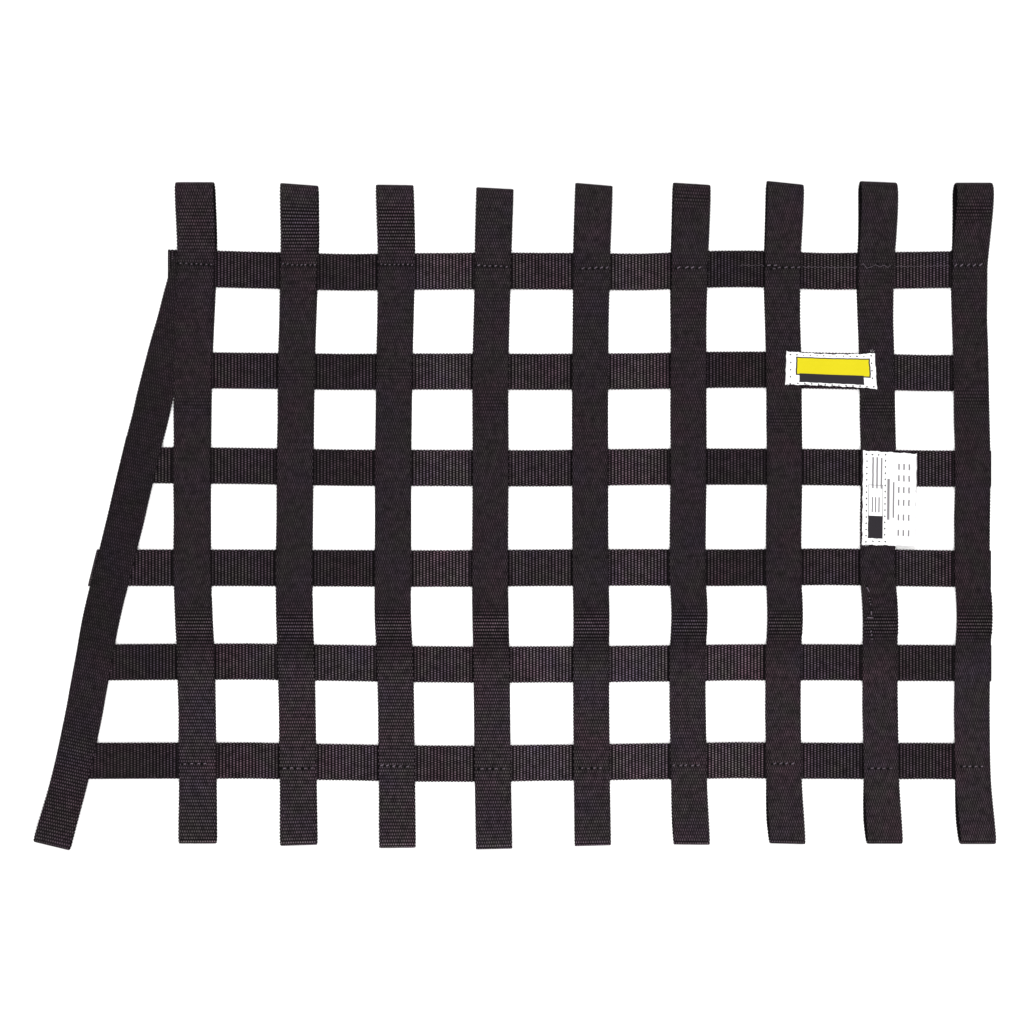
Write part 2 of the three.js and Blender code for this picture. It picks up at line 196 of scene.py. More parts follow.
# Rows of stitches over the top and the bottom cross strap: the upright, where its first stitch
# starts from the upright's middle, the pitch, how many there are, how far the row lies above
# the cross strap's own row, how much it climbs at each stitch, how much each stitch slants, how
# far it stands up and how far it strays up and down
ROW_COLUMNS = ("upright", "first", "pitch", "count", "above", "climb", "slant", "lift", "stray")
TOP_ROWS = (
    (1, -11.0, 3.55, 7, 4.6, -0.16, 0.3, 0.06, 0.30),
    (2, -11.2, 3.1, 8, 4.3, -0.1, 0.7, 0.14, 0.32),
    (3, -10.8, 3.05, 8, 4.0, 0.0, 0.5, 0.08, 0.32),
    (4, -10.8, 3.9, 6, 3.4, -0.16, 0.6, 0.14, 0.25),
    (5, -7.2, 4.3, 5, 1.5, 0.1, 1.2, 0.36, 0.15),
    (6, -8.4, 4.75, 4, 2.0, 0.0, 1.2, 0.36, 0.10),
    (7, -10.8, 4.9, 2, 3.6, 0.0, 0.4, 0.42, 0.10),
    (7, -7.3, 4.2, 1, 1.1, 0.0, 0.3, 0.42, 0.10),
    (7, -3.3, 4.5, 4, 2.1, 0.0, 0.7, 0.42, 0.15),
    (9, -11.4, 4.45, 5, 3.5, 0.1, 1.7, 0.36, 0.15),
)
BOTTOM_ROWS = (
    (1, -9.6, 4.7, 4, -1.2, 0.0, 0.3, 0.06, 0.20),
    (2, -10.6, 4.8, 5, -4.2, 0.0, 0.3, 0.06, 0.20),
    (3, -11.6, 4.5, 5, -2.2, -0.2, 0.9, 0.30, 0.15),
    (4, -8.3, 4.9, 4, -4.6, 0.0, 0.5, 0.16, 0.15),
    (5, -7.7, 4.3, 4, -4.3, 0.0, 0.3, 0.06, 0.20),
    (6, -11.0, 4.2, 5, -2.2, 0.0, 0.9, 0.34, 0.15),
    (7, -7.4, 4.3, 4, -0.8, 0.0, 1.1, 0.38, 0.15),
    (8, -7.6, 4.3, 4, -4.3, 0.0, 0.5, 0.32, 0.15),
    (9, -7.4, 4.2, 4, -3.0, 0.0, 0.5, 0.22, 0.15),
)

# Strap 8's top row, sewn as a loose chain: its points from the upright's middle and the row
CHAIN = (
    (-10.3, 3.7), (-9.2, 4.9), (-6.8, 1.4), (-3.3, 2.5), (-0.4, 3.9), (2.5, 2.3), (5.5, 3.7), (7.8, 2.0),
    (10.1, 3.5),
)

# Stitches of all these rows: how far a stitch strays sideways, the least and the most share of
# the pitch that it reaches and of its row's lift that it keeps, how far before it its needle
# hole lies, where a hole lies beside a point of the chain and above one of SEAM, and how far the
# thread of a nearly flat stitch is sunk beside one with the full lift
STITCH_STRAY = 0.4
STITCH_REACH = (0.40, 0.52)
STITCH_LIFT = (0.5, 1.1)
HOLE_BEFORE = 0.95
CHAIN_HOLE = (1.5, 0.5)
SEAM_HOLE = 0.5
FULL_LIFT = 0.42
SUNK = 0.4

# Where the seam along strap 8's left side comes through to the front: start from the upright's
# middle, height, how far it runs sideways and up, and how far it stands up
SEAM = (
    (-8.4, -52.5, 1.8, -3.5, 0.26), (-7.0, -59.9, 0.05, -0.9, 0.14), (-7.0, -62.2, 0.05, -0.9, 0.14),
    (-6.6, -64.0, 0.2, -1.2, 0.26), (-6.2, -69.3, 0.1, -2.8, 0.02), (-9.6, -73.8, 4.6, -0.4, 0.04),
    (-6.4, -82.9, -0.5, -1.6, 0.16), (-6.0, -85.2, -0.4, -1.7, 0.42), (-5.8, -88.5, 0.05, -0.9, 0.34),
)

# The top cross strap's own row between the uprights: where it begins and ends along X, how far
# it lies above the middle, how long and how high each of its strokes is, how far its points
# stray up and down, how deep they are in the cloth, how far it stays clear of an upright's edge,
# how far its thread stands up, and how thick it is beside the other thread
RUNNING_FROM = 160.0
RUNNING_TO = 309.0
RUNNING_ABOVE = 2.2
RUNNING_STEP = 2.1
RUNNING_SWING = 0.8
RUNNING_STRAY = 0.25
RUNNING_SUNK = 0.14
RUNNING_CLEAR = 0.6
RUNNING_LIFT = 0.05
RUNNING_SHARE = 0.3

# Rows of the lapped joints: how far inside the joint's ends they lie, how many stitches each
# has, where the first starts from the middle, their pitch, how far each reaches, the level and
# lift of the thread, and how far before a stitch and how high its needle hole lies
JOINT_INSET = 4.0
JOINT_STITCHES = 5
JOINT_FIRST = -9.6
JOINT_PITCH = 4.2
JOINT_REACH = (2.9, 0.3)
JOINT_LEVEL = 0.22
JOINT_LIFT = -0.02
JOINT_HOLE = (0.5, 0.3)

# Sewing of the labels: the share of the pitch that a stitch reaches and that its hole lies
# before it, how far a stitch stands up, how far a loose fibre drops and stands up, the radius
# of thread, needle holes and fibres in metres, and the shade inside the holes of the labels and
# of the webbing
LABEL_STITCH = 0.76
LABEL_HOLE_BEFORE = 0.12
LABEL_LIFT = 0.06
FRAY_DROP = 0.1
FRAY_LIFT = 0.15
LABEL_THREAD_RADIUS = 0.00017
LABEL_HOLE_RADIUS = 0.00062
FRAY_RADIUS = 0.00009
LABEL_HOLE_SHADE = 0.02
HOLE_SHADE = 0.0015

# Seed of the stitches' small unevenness
STITCH_SEED = 27

# Stretches over which the bands change, as distances above or below the net's middle: the top
# loops and their tips, the tight upper part and where its light rises, where the weave opens
# below the middle, where it gets paler, where the inner faces get their painted shade, the
# bottom folds, and where the slanted strap's weave opens and gets paler
TOP_LOOP = (168.0, 192.0)
LOOP_TIP = (209.0, 221.0)
TIGHT_PART = (20.0, 160.0)
BRIGHT_PART = (60.0, 160.0)
OPEN_PART = (60.0, 90.0)
PALE_PART = (90.0, 115.0)
DARK_INSIDE = (176.0, 190.0)
BOTTOM_FOLD = (225.0, 231.0)
SLANT_OPEN = (120.0, 180.0)
SLANT_PALE = (150.0, 175.0)

# The uprights, by number, over which the open weave and the paler light below the joint lessen
# to the right, and those over which the bottom folds' open weave does
RIGHT_PART = (3.0, 9.0)
RIGHT_FOLDS = (4.0, 8.0)

# The bow over the joint and the dulled line along the top row: height and reach of each
JOINT_BOW = (-79.0, 10.0)
ROW_DULL = (172.0, 2.2)

# How far the weave stands open, 0 tight and 1 open: on the tight upper part and what it gains
# upwards, below the middle, in a closed top loop and what an open one gains, at the bow and what
# it loses away from strap 4, at the bottom folds and what they lose to the right, on the slanted
# strap and what it gains downwards, and the share lost to the right and at the top loops' tips
# Besides raising the ribs, the relief sets the depth of the painted gap shade and the strength of the
# painted float highlight in the colour
TIGHT_RELIEF = (0.17, 0.15)
LOW_RELIEF = 0.54
LOOP_RELIEF = (0.2, 0.47)
BOW_RELIEF = (0.92, 0.12)
FOLD_RELIEF = (1.05, 0.3)
SLANT_RELIEF = (0.32, 0.26)
RELIEF_LOSS = 0.7

# Light on the webbing: everywhere and what it gains on the upper part, what it gains below the
# joint and how much less to the right, what it gains at an open top loop and at a bottom fold,
# what the top row and the inner faces lose, and on the slanted strap the share that is left and
# what that gains downwards
# These are painted into the webbing's colour: painted light, and painted shade on the inner faces
PLAIN_LIGHT = (0.98, 0.12)
PALE_LIGHT = (0.66, 0.34)
LOOP_LIGHT = 0.3
FOLD_LIGHT = 0.3
ROW_LOSS = 0.2
INSIDE_LOSS = 0.85
SLANT_LIGHT = (0.78, 0.2)

# Shade on a cross strap at an upright's right and left side: its strength, and how far from
# the upright's edge it begins to fade and ends
RIGHT_SHADE = (0.55, 1.2, 3.0)
LEFT_SHADE = (0.9, 0.8, 2.9)

# How far the weave of the cross straps stands open in each bay, for the upper four and for
# the lower two
# As on the uprights, the relief here also sets the painted gap shade and float highlight
BAY_MIDDLES = (-270.0, -186.0, -117.0, -48.0, 20.0, 90.0, 157.0, 224.0, 290.0)
UPPER_BAYS = (0.8, 0.8, 0.62, 1.08, 0.88, 1.04, 0.62, 0.85, 0.9)
LOWER_BAYS = (0.6, 0.92, 1.02, 0.95, 1.12, 1.12, 1.1, 0.88, 0.8)

CROSSES = [dict(zip(CROSS_COLUMNS, row)) for row in CROSS_TABLE]
LABELS = [dict(zip(LABEL_COLUMNS, row)) for row in LABEL_TABLE]
BANDS = [
    dict(zip(BAND_COLUMNS + LOOP_COLUMNS, places + loops))
    for places, loops in zip(BAND_TABLE, LOOP_TABLE)
]
ROWS = [cross["row"] for cross in CROSSES]


def smoothstep(value, low, high):
    """0 below low, 1 above high, and 3u^2 - 2u^3 between them, where u is the share of the way."""
    share = np.clip((value - low) / (high - low), 0.0, 1.0)
    return share * share * (3.0 - 2.0 * share)


def follow(knots, place):
    """A smooth line through (place, value) knots: cubic between each two, with the slope at a
    knot taken from its neighbours on both sides."""
    at, value = np.array(sorted(knots), dtype=float).T
    slope = np.gradient(value, at, edge_order=1)
    slope[1:-1] = (value[2:] - value[:-2]) / (at[2:] - at[:-2])
    i = np.clip(np.searchsorted(at, place, side="right") - 1, 0, len(at) - 2)
    run = at[i + 1] - at[i]
    u = np.clip((place - at[i]) / run, 0.0, 1.0)
    rise = u * u * (3.0 - 2.0 * u)
    bend = u * (1.0 - u) ** 2 * run * slope[i] + u * u * (u - 1.0) * run * slope[i + 1]
    return value[i] * (1.0 - rise) + value[i + 1] * rise + bend


def band_knots(band):
    """Knots of a band's middle line and of its back layer's sideways shift, by height."""
    joint = (JOINT_TOP + JOINT_BOTTOM) / 2
    levels = [band["top_end"], LOOP_ROOT, *ROWS[:4], joint, *ROWS[4:], band["bottom_end"]]
    line = [(y, x) for y, x in zip(levels, band["places"]) if x is not None]
    back = [
        (band["bottom_end"], 0.0),
        (band["bottom_end"] + LOOP_SHIFT, band["back_loop"]),
        (ROWS[-1], band["back_bottom"]),
        (ROWS[-2], band["back_rows"]),
        (ROWS[1], band["back_rows"]),
        (ROWS[0], band["back_top"]),
        (band["top_end"], 0.0),
    ]
    return line, back


def front_height(band, y, dip):
    """Height of a band's front layer, lower by dip where it isn't raised on the slanted strap."""
    raised = smoothstep(y, STEP_DOWN_TO, STEP_DOWN_FROM) if band["over"] else 0.0
    return FRONT_LAYER + band["over"] * raised - dip * (1.0 - raised)


def front_run(band, flat, has_joint, step):
    """(y, z) of the front layer from the bottom cross strap to the top one: flat on each cross
    strap, and between two of them lower by FRONT_DIP times sin^2, except over the joint."""
    low = ROWS[-1] - CROSSES[-1]["width"] / 2 - flat
    high = ROWS[0] + CROSSES[0]["width"] / 2 + flat
    y = np.arange(low, high, step)
    dip = np.zeros_like(y)
    for lower, upper in zip(CROSSES[:0:-1], CROSSES[-2::-1]):
        start = lower["row"] + lower["width"] / 2 + flat
        end = upper["row"] - upper["width"] / 2 - flat
        over_joint = has_joint and start < JOINT_BOTTOM and end > JOINT_TOP
        share = np.clip((y - start) / (end - start), 0.0, 1.0)
        dip += 0.0 if over_joint else FRONT_DIP * np.sin(math.pi * share) ** 2
    return y, front_height(band, y, dip)


def fold_run(end, height, side, step):
    """(y, z, share) round a rod loop's fold, a half circle from the front to the back layer."""
    radius = (height - WEB_THICKNESS) / 2
    centre = end - side * height / 2
    angle = np.linspace(0.0, math.pi, max(int(math.pi * radius / step), 12))
    return (
        centre + side * radius * np.sin(angle),
        height / 2 + radius * np.cos(angle),
        angle / math.pi,
    )


def loop_run(start, end, low, high, step):
    """(y, z) of a rod loop's front layer, rising smoothly from low to high."""
    y = np.linspace(start, end, int(abs(end - start) / step))[1:-1]
    return y, low + (high - low) * smoothstep(np.abs(y), abs(start), abs(end))


def level(start, end, height, step):
    """(y, z) of a level stretch from start down to end."""
    y = np.linspace(start, end, int(abs(end - start) / step))[:-1]
    return y, np.full_like(y, height)


def joined(*stretches):
    """Stretches of (y, z, share) as one path, where a missing share is the back layer's 1."""
    full = [stretch if len(stretch) == 3 else (*stretch, np.ones_like(stretch[0])) for stretch in stretches]
    return [np.concatenate(parts) for parts in zip(*full)]


def on_front(run):
    """A stretch of the front layer with its share of the back layer's shift, which is 0."""
    return (*run, np.zeros_like(run[0]))


def way_up(band, front, back_start, step):
    """A band's stretches from back_start down its back layer, round the bottom fold and up to
    where its front layer lies flat."""
    fold = fold_run(band["bottom_end"], band["bottom_height"], -1, step)
    lower = loop_run(front[0][0], fold[0][0], front[1][0], fold[1][0], step)
    return (
        level(back_start, fold[0][-1], BACK_LAYER, step),
        [part[::-1] for part in fold],
        on_front([part[::-1] for part in lower]),
    )


def upright_path(band, step):
    """A closed band as (y, z, share): down the back from the joint, round the bottom fold, up
    the front, round the top fold and down the back to its own beginning, which it laps over."""
    front = front_run(band, FLAT_RUN, True, step)
    top = fold_run(band["top_end"], band["top_height"], 1, step)
    upper = loop_run(front[0][-1], top[0][0], front[1][-1], top[1][0], step)
    lap_start = JOINT_TOP + JOINT_CLEAR
    rise_start = lap_start + JOINT_RISE
    rise_y = np.linspace(rise_start, lap_start, 16)[:-1]
    rise_z = BACK_LAYER + LAYER_STEP * smoothstep(-rise_y, -rise_start, -lap_start)
    return joined(
        *way_up(band, front, JOINT_TOP, step),
        on_front(front),
        on_front(upper),
        top,
        level(top[0][-1], rise_start, BACK_LAYER, step),
        (rise_y, rise_z),
        level(lap_start, JOINT_BOTTOM, CROSS_LAYER, step),
    )


def slant_path(band, step):
    """The slanted strap as (y, z, share): from the end of its back layer down and round the
    fold, then up the front to its top end."""
    front = front_run(band, SLANT_FLAT_RUN, False, step)
    kept = front[0] <= SLANT_TOP
    return joined(
        *way_up(band, front, SLANT_BACK_END, step),
        on_front([part[kept] for part in front]),
    )


def band_line(band, path, turn):
    """Points of a band's middle line and the direction across it at each, which turns until
    it lies along the fold's own line near the fold. The webbing spreads by BAND_SPREAD of its
    width, and by LOOP_SPREAD more round the top loop."""
    y, z, share = path
    line, back = band_knots(band)
    x = follow(line, y) + share * follow(back, y)
    lean = smoothstep(np.abs(y), abs(band["bottom_end"]) - LOOP_LEAN, abs(band["bottom_end"]))
    drop = np.where(y > 0, band["top_drop"], band["bottom_drop"]) * lean / band["width"]
    across = np.stack([np.full_like(y, math.cos(turn)), -math.sin(turn) - drop, np.zeros_like(y)], axis=1)
    spread = 1.0 + BAND_SPREAD + LOOP_SPREAD * smoothstep(y, *TOP_LOOP)
    return np.stack([x, y, z], axis=1), across * spread[:, None]


def cross_line(cross, step):
    """Points of a cross strap's middle line and the direction across it: flat under each
    band, and lower by CROSS_SAG times sin^2 in each bay."""
    uprights = BANDS[1:]
    places = [float(follow(band_knots(band)[0], cross["row"])) for band in uprights]
    slant_x = float(follow(band_knots(BANDS[0])[0], cross["row"])) - SLANT_EDGE
    start = slant_x + cross["cut_in"] if cross["start"] is None else cross["start"]
    bays = [(a + b) / 2 for a, b in zip(places, places[1:])]
    x = np.arange(start, cross["end"], step)
    y = cross["row"] + follow(list(zip([start, *bays, cross["end"]], cross["wander"])), x)
    z = np.full_like(x, CROSS_LAYER)
    for i, band in enumerate(uprights[:-1]):
        left = places[i] + band["width"] / 2 + FLAT_RUN
        right = places[i + 1] - uprights[i + 1]["width"] / 2 - FLAT_RUN
        share = np.clip((x - left) / (right - left), 0.0, 1.0)
        z -= CROSS_SAG * np.sin(math.pi * share) ** 2
    skew = 0.0 if cross["start"] is not None else SLANT_CUT
    skew = skew * (1.0 - smoothstep(x, start, start + SLANT_CUT_RUN))
    across = np.stack([-skew, -np.ones_like(x), np.zeros_like(x)], axis=1)
    return np.stack([x, y, z], axis=1), across


# Where each rib of the weave gets its rings, as shares of the rib, and how full it is there
RIB_PHASES = np.array([0.09, 0.27, 0.5, 0.73, 0.91])
RIB_SWELL = np.array([0.0, 0.84, 1.0, 0.84, 0.0])


def rib_steps(points, across, opened, pitch):
    """The same line with a ring at each of RIB_PHASES of every rib, measured along it, the
    number of ribs gone by at each ring, and the length of the line."""
    gone = np.concatenate([[0.0], np.cumsum(np.linalg.norm(np.diff(points, axis=0), axis=1))])
    count = int(round(gone[-1] / pitch))
    ribs = (np.arange(count)[:, None] + RIB_PHASES[None, :]).ravel()
    at = (ribs - ribs[0]) * gone[-1] / (ribs[-1] - ribs[0])
    even = []
    for values in (points, across, opened):
        even.append(np.stack([np.interp(at, gone, column) for column in values.T], axis=1))
    return (*even, ribs, gone[-1])


# Places across the webbing, as shares of half its width, and its thickness at each
COLUMNS = np.array([-1.0, -0.97, -0.88, 0.0, 0.88, 0.97, 1.0])
FULLNESS = np.array([0.30, 0.86, 1.0, 1.0, 1.0, 0.86, 0.30])


def webbing_grid(points, across, relief, ribs, width, settings):
    """A ribbon of woven webbing: a flat ring of columns carried along the line. Each rib
    raises both faces by rib_height times its fullness, the more the higher the relief is, and
    pushes the selvedges out a little."""
    along = np.gradient(points, axis=0)
    along /= np.linalg.norm(along, axis=1, keepdims=True)
    square = across / np.linalg.norm(across, axis=1, keepdims=True)
    out = np.cross(square, along)
    out /= np.linalg.norm(out, axis=1, keepdims=True)
    swell = np.tile(RIB_SWELL, len(ribs) // len(RIB_SWELL))
    rib = settings.rib_height * 1000 * (0.35 + 0.65 * relief)
    rise = settings.thickness * 500 - rib * (1.0 - swell)
    edge = width / 2 + settings.edge_wave * 1000 * (swell - 0.5)
    middle = points[:, None, :]
    reach = (COLUMNS[None, :] * edge[:, None])[..., None] * across[:, None, :]
    lift = (FULLNESS[None, :] * rise[:, None])[..., None] * out[:, None, :]
    front = middle + reach + lift
    back = (middle + reach - lift)[:, ::-1]
    grid = np.concatenate([front, back], axis=1)
    v = np.concatenate([COLUMNS, COLUMNS[::-1]]) * width / 2 / (settings.float_pitch * 1000)
    u = np.broadcast_to(ribs[:, None], grid.shape[:2])
    return grid, np.stack([u, np.broadcast_to(v[None, :], grid.shape[:2])], axis=2)


def ring_mesh(name, tubes, weave, material):
    """Tubes as one mesh, from points by tube, ring and place round the ring: quads between
    neighbouring rings, and a flat cap at each end of each tube."""
    count, stations, around = tubes.shape[:3]
    i, j = np.meshgrid(np.arange(stations - 1), np.arange(around), indexing="ij")
    k = (j + 1) % around
    quads = np.stack([i * around + j, i * around + k, (i + 1) * around + k, (i + 1) * around + j], axis=2)
    first = np.arange(around)[::-1]
    last = (stations - 1) * around + np.arange(around)
    corners = np.concatenate([quads.ravel(), first, last])
    corners = corners[None, :] + np.arange(count)[:, None] * stations * around
    sizes = np.tile([4] * ((stations - 1) * around) + [around, around], count)
    return put_mesh(name, tubes.reshape(-1, 3), corners.ravel(), sizes, material, weave)


def label_drop(name, share):
    """How far a label lies below its flat height: the patch dips to the cross strap between
    the two uprights it bridges, and the free flap of the side label droops."""
    if name == "label_patch":
        return PATCH_DIP * smoothstep(np.minimum(share, 1.0 - share), PATCH_SEWN_SHARE, 0.5)
    return FLAP_DROP * smoothstep(share, SIDE_SEWN_SHARE, 1.0)


def between(left, right, share):
    """The value a share of the way from left to right."""
    return left + (right - left) * share


def label_place(label, share, rise):
    """The middle surface of a label, straight between its two cut ends: share goes from the
    left end to the right one, and rise from -0.5 at the bottom to 0.5 at the top."""
    width = between(label["left_width"], label["right_width"], share) * rise
    skew = between(label["left_skew"], label["right_skew"], share)
    x = between(label["left"][0], label["right"][0], share) + skew * width
    y = between(label["left"][1], label["right"][1], share) + width
    z = LABEL_LAYER - label_drop(label["name"], share)
    return np.stack(np.broadcast_arrays(x, y, z), axis=-1)


def label_ease(label, x, y):
    """Slack in a label's cloth: two sine waves of unlike direction, in millimetres."""
    return 0.07 * np.sin(x * 0.33 + y * 0.21 + len(label["name"])) + 0.05 * np.sin(x * 0.71 - y * 0.47)


def label_face(label, x, y):
    """A point on a label's front face, x from its left end and y from its middle line."""
    length = label["right"][0] - label["left"][0]
    place = label_place(label, x / length, y / label["left_width"])
    return place + np.array([0.0, 0.0, LABEL_THICKNESS / 2 + label_ease(label, x, y)])


def hot_cut(along, seed):
    """The uneven line of a hot-cut edge: three sines of unlike wavelengths, in millimetres."""
    return (
        0.20 * np.sin(along * 0.61 + seed)
        + 0.13 * np.sin(along * 1.37 + 2.1 * seed)
        + 0.10 * np.sin(along * 2.93 + 3.7 * seed)
    )


def label_grid(label, rows, sewn, step):
    """A label as rings round its cross section. Its four edges follow hot_cut, its long edges
    lie further in by rows towards the middle of its length, and its cloth is drawn down along
    the sewn lines by SEAM_DEPTH times a bell curve."""
    length = label["right"][0] - label["left"][0]
    height = label["left_width"]
    share = np.linspace(0.0, 1.0, int(length / step))[:, None]
    rise = np.linspace(-0.5, 0.5, int(height / step))[None, :]
    place = label_place(label, share, rise)
    seed = 1.0 + len(label["name"])
    x, y = share * length, rise * height
    cut_x = hot_cut(y, seed) * (1.0 - share) ** 8 + hot_cut(y, seed + 2.0) * share ** 8
    inner = np.sin(math.pi * share) ** 0.5
    cut_y = (hot_cut(x, seed + 4.0) - rows[0] * inner) * (0.5 + rise) ** 8
    cut_y = cut_y + (hot_cut(x, seed + 6.0) + rows[1] * inner) * (0.5 - rise) ** 8
    seam = np.zeros_like(place[..., 2])
    for axis, at in sewn:
        off = (x if axis == 0 else y) - at
        seam = seam - SEAM_DEPTH * np.exp(-(off / SEAM_WIDTH) ** 2)
    middle = place + np.stack(np.broadcast_arrays(cut_x, cut_y, seam + label_ease(label, x, y)), axis=-1)
    edge = np.minimum(np.minimum(share, 1.0 - share) * length, (0.5 - np.abs(rise)) * height)
    half = LABEL_THICKNESS / 2 * (0.35 + 0.65 * smoothstep(edge, 0.0, 0.8))
    lift = np.stack([np.zeros_like(half), np.zeros_like(half), half], axis=-1)
    ring = np.concatenate([(middle - lift), (middle + lift)[:, ::-1]], axis=1)
    flat = np.stack(np.broadcast_arrays(x - length / 2, y), axis=-1)
    return ring, np.concatenate([flat, flat[:, ::-1]], axis=1)


# A stitch: how many rings it has from end to end, and how many sides
STITCH_RINGS = 7
STITCH_SIDES = 5


def stitch_mesh(name, starts, ends, lifts, radius, material):
    """Many stitches as one mesh. Each is a round thread from start to end whose middle stands
    up by lift times 1 - (2t - 1)^4, and whose ends dive into the cloth."""
    t = np.linspace(0.0, 1.0, STITCH_RINGS)[None, :, None]
    angle = np.linspace(0.0, 2 * math.pi, STITCH_SIDES, endpoint=False)[None, None, :]
    starts, ends = starts[:, None, None, :], ends[:, None, None, :]
    run = ends - starts
    aside = np.cross(run, np.array([0.0, 0.0, 1.0]))
    aside /= np.linalg.norm(aside, axis=-1, keepdims=True)
    outward = np.where(lifts < 0.0, -1.0, 1.0)[:, None, None]
    away = np.abs(2.0 * t - 1.0)
    arch = lifts[:, None, None] * (1.0 - away ** 4) - outward * radius * 0.9 * away ** 6
    line = starts + run * t[..., None]
    side = aside * (radius * np.cos(angle))[..., None]
    up = np.zeros(3) + np.array([0.0, 0.0, 1.0]) * (arch + radius * np.sin(angle))[..., None]
    weave = np.stack(np.broadcast_arrays(t[..., 0][..., None] * 5.0, angle / (2 * math.pi)), axis=-1)
    weave = np.broadcast_to(weave, (len(starts), *weave.shape[1:]))
    return ring_mesh(name, line + side + up, weave, material)


# A needle hole: how many sides it has, and its rings, each with its share of the radius and
# its height
HOLE_SIDES = 8
HOLE_RINGS = ((1.0, -0.30), (1.0, 0.03), (0.85, 0.08))


def hole_mesh(name, places, radius, material):
    """Many needle holes as one mesh: each a small closed dome of dark shade, flat on top."""
    angle = np.linspace(0.0, 2 * math.pi, HOLE_SIDES, endpoint=False)
    rings = []
    for share, height in HOLE_RINGS:
        reach = radius * share
        rings.append([reach * np.cos(angle), reach * np.sin(angle), np.full(HOLE_SIDES, height)])
    shape = np.array(rings).transpose(0, 2, 1)
    return ring_mesh(name, places[:, None, None, :] + shape, None, material)


def band_middle(band, y):
    """Place along X of a band's middle line at a height y."""
    return float(follow(band_knots(band)[0], y))


def face_height(band, y):
    """Height of the outer face of a band's front layer where it lies flat on a cross strap."""
    return float(front_height(band, y, 0.0)) + WEB_THICKNESS / 2


def sewn_rows(draw):
    """Stitches through the uprights and their top and bottom cross straps: starts, ends, lifts
    and needle holes, with a little unevenness drawn for each."""
    starts, ends, lifts, holes = [], [], [], []
    for rows, cross in ((TOP_ROWS, CROSSES[0]), (BOTTOM_ROWS, CROSSES[-1])):
        for values in rows:
            row = dict(zip(ROW_COLUMNS, values))
            band = BANDS[row["upright"]]
            for k in range(row["count"]):
                y = cross["row"] + row["above"] + row["climb"] * k + draw.uniform(-1.0, 1.0) * row["stray"]
                x = band_middle(band, y) + row["first"] + row["pitch"] * k
                x = x + draw.uniform(-STITCH_STRAY, STITCH_STRAY)
                z = face_height(band, y) - SUNK * (1.0 - row["lift"] / FULL_LIFT)
                reach = row["pitch"] * draw.uniform(*STITCH_REACH)
                starts.append((x, y - row["slant"] / 2, z))
                ends.append((x + reach, y + row["slant"] / 2, z))
                lifts.append(row["lift"] * draw.uniform(*STITCH_LIFT))
                holes.append((x - HOLE_BEFORE, y - row["slant"] / 2, face_height(band, y)))
    band = BANDS[8]
    middle, height = band_middle(band, ROWS[0]), face_height(band, ROWS[0])
    for x, y in CHAIN[2:-1:2]:
        holes.append((middle + x + CHAIN_HOLE[0], ROWS[0] + y + CHAIN_HOLE[1], height))
    for x, y, aside, along, lift in SEAM:
        place = (band_middle(band, y) + x, y, face_height(band, y))
        starts.append(place)
        ends.append((place[0] + aside, y + along, place[2]))
        lifts.append(lift)
        holes.append((place[0], y + SEAM_HOLE, place[2]))
    return starts, ends, lifts, holes


def running_row(draw):
    """The fine threads of the top row: short strokes up and down along the cross strap where
    no upright covers it, and the loose chain on strap 8."""
    cross = CROSSES[0]
    line, _ = cross_line(cross, PATH_STEP)
    x = np.arange(RUNNING_FROM, RUNNING_TO, RUNNING_STEP)
    y = np.interp(x, line[:, 0], line[:, 1]) + RUNNING_ABOVE + RUNNING_SWING * (np.arange(len(x)) % 2)
    y = y + draw.uniform(-RUNNING_STRAY, RUNNING_STRAY, len(x))
    z = np.interp(x, line[:, 0], line[:, 2]) + WEB_THICKNESS / 2 - RUNNING_SUNK
    covered = np.zeros(len(x), dtype=bool)
    for band in BANDS[1:]:
        covered |= np.abs(x - band_middle(band, cross["row"])) < band["width"] / 2 + RUNNING_CLEAR
    points = list(zip(x, y, z))
    kept = [k for k in range(len(x) - 1) if not covered[k] and not covered[k + 1]]
    band = BANDS[8]
    chain = [(band_middle(band, ROWS[0]) + x, ROWS[0] + y, face_height(band, ROWS[0])) for x, y in CHAIN]
    starts = [points[k] for k in kept] + chain[:-1]
    ends = [points[k + 1] for k in kept] + chain[1:]
    return starts, ends, [RUNNING_LIFT] * len(starts), []


def joint_rows():
    """Stitches through the lapped joint at the back of each upright."""
    starts, ends, lifts, holes = [], [], [], []
    for band in BANDS[1:]:
        for y in (JOINT_TOP - JOINT_INSET, JOINT_BOTTOM + JOINT_INSET):
            for k in range(JOINT_STITCHES):
                x = band_middle(band, y) + band["back_rows"] + JOINT_FIRST + JOINT_PITCH * k
                starts.append((x, y, JOINT_LEVEL))
                ends.append((x + JOINT_REACH[0], y + JOINT_REACH[1], JOINT_LEVEL))
                lifts.append(JOINT_LIFT)
                holes.append((x - JOINT_HOLE[0], y, JOINT_HOLE[1]))
    return starts, ends, lifts, holes


def open_loop(number):
    """How far the weave of an upright's top loop stands open, 1 at straps 2 and 3 and nearly
    0 from strap 5 on."""
    return 1.0 - smoothstep(abs(number - 2.3), 0.9, 2.0)


def bell(value, middle, reach):
    """1 at the middle, falling off as exp(-u^2), where u is the distance in units of reach."""
    return np.exp(-((value - middle) / reach) ** 2)


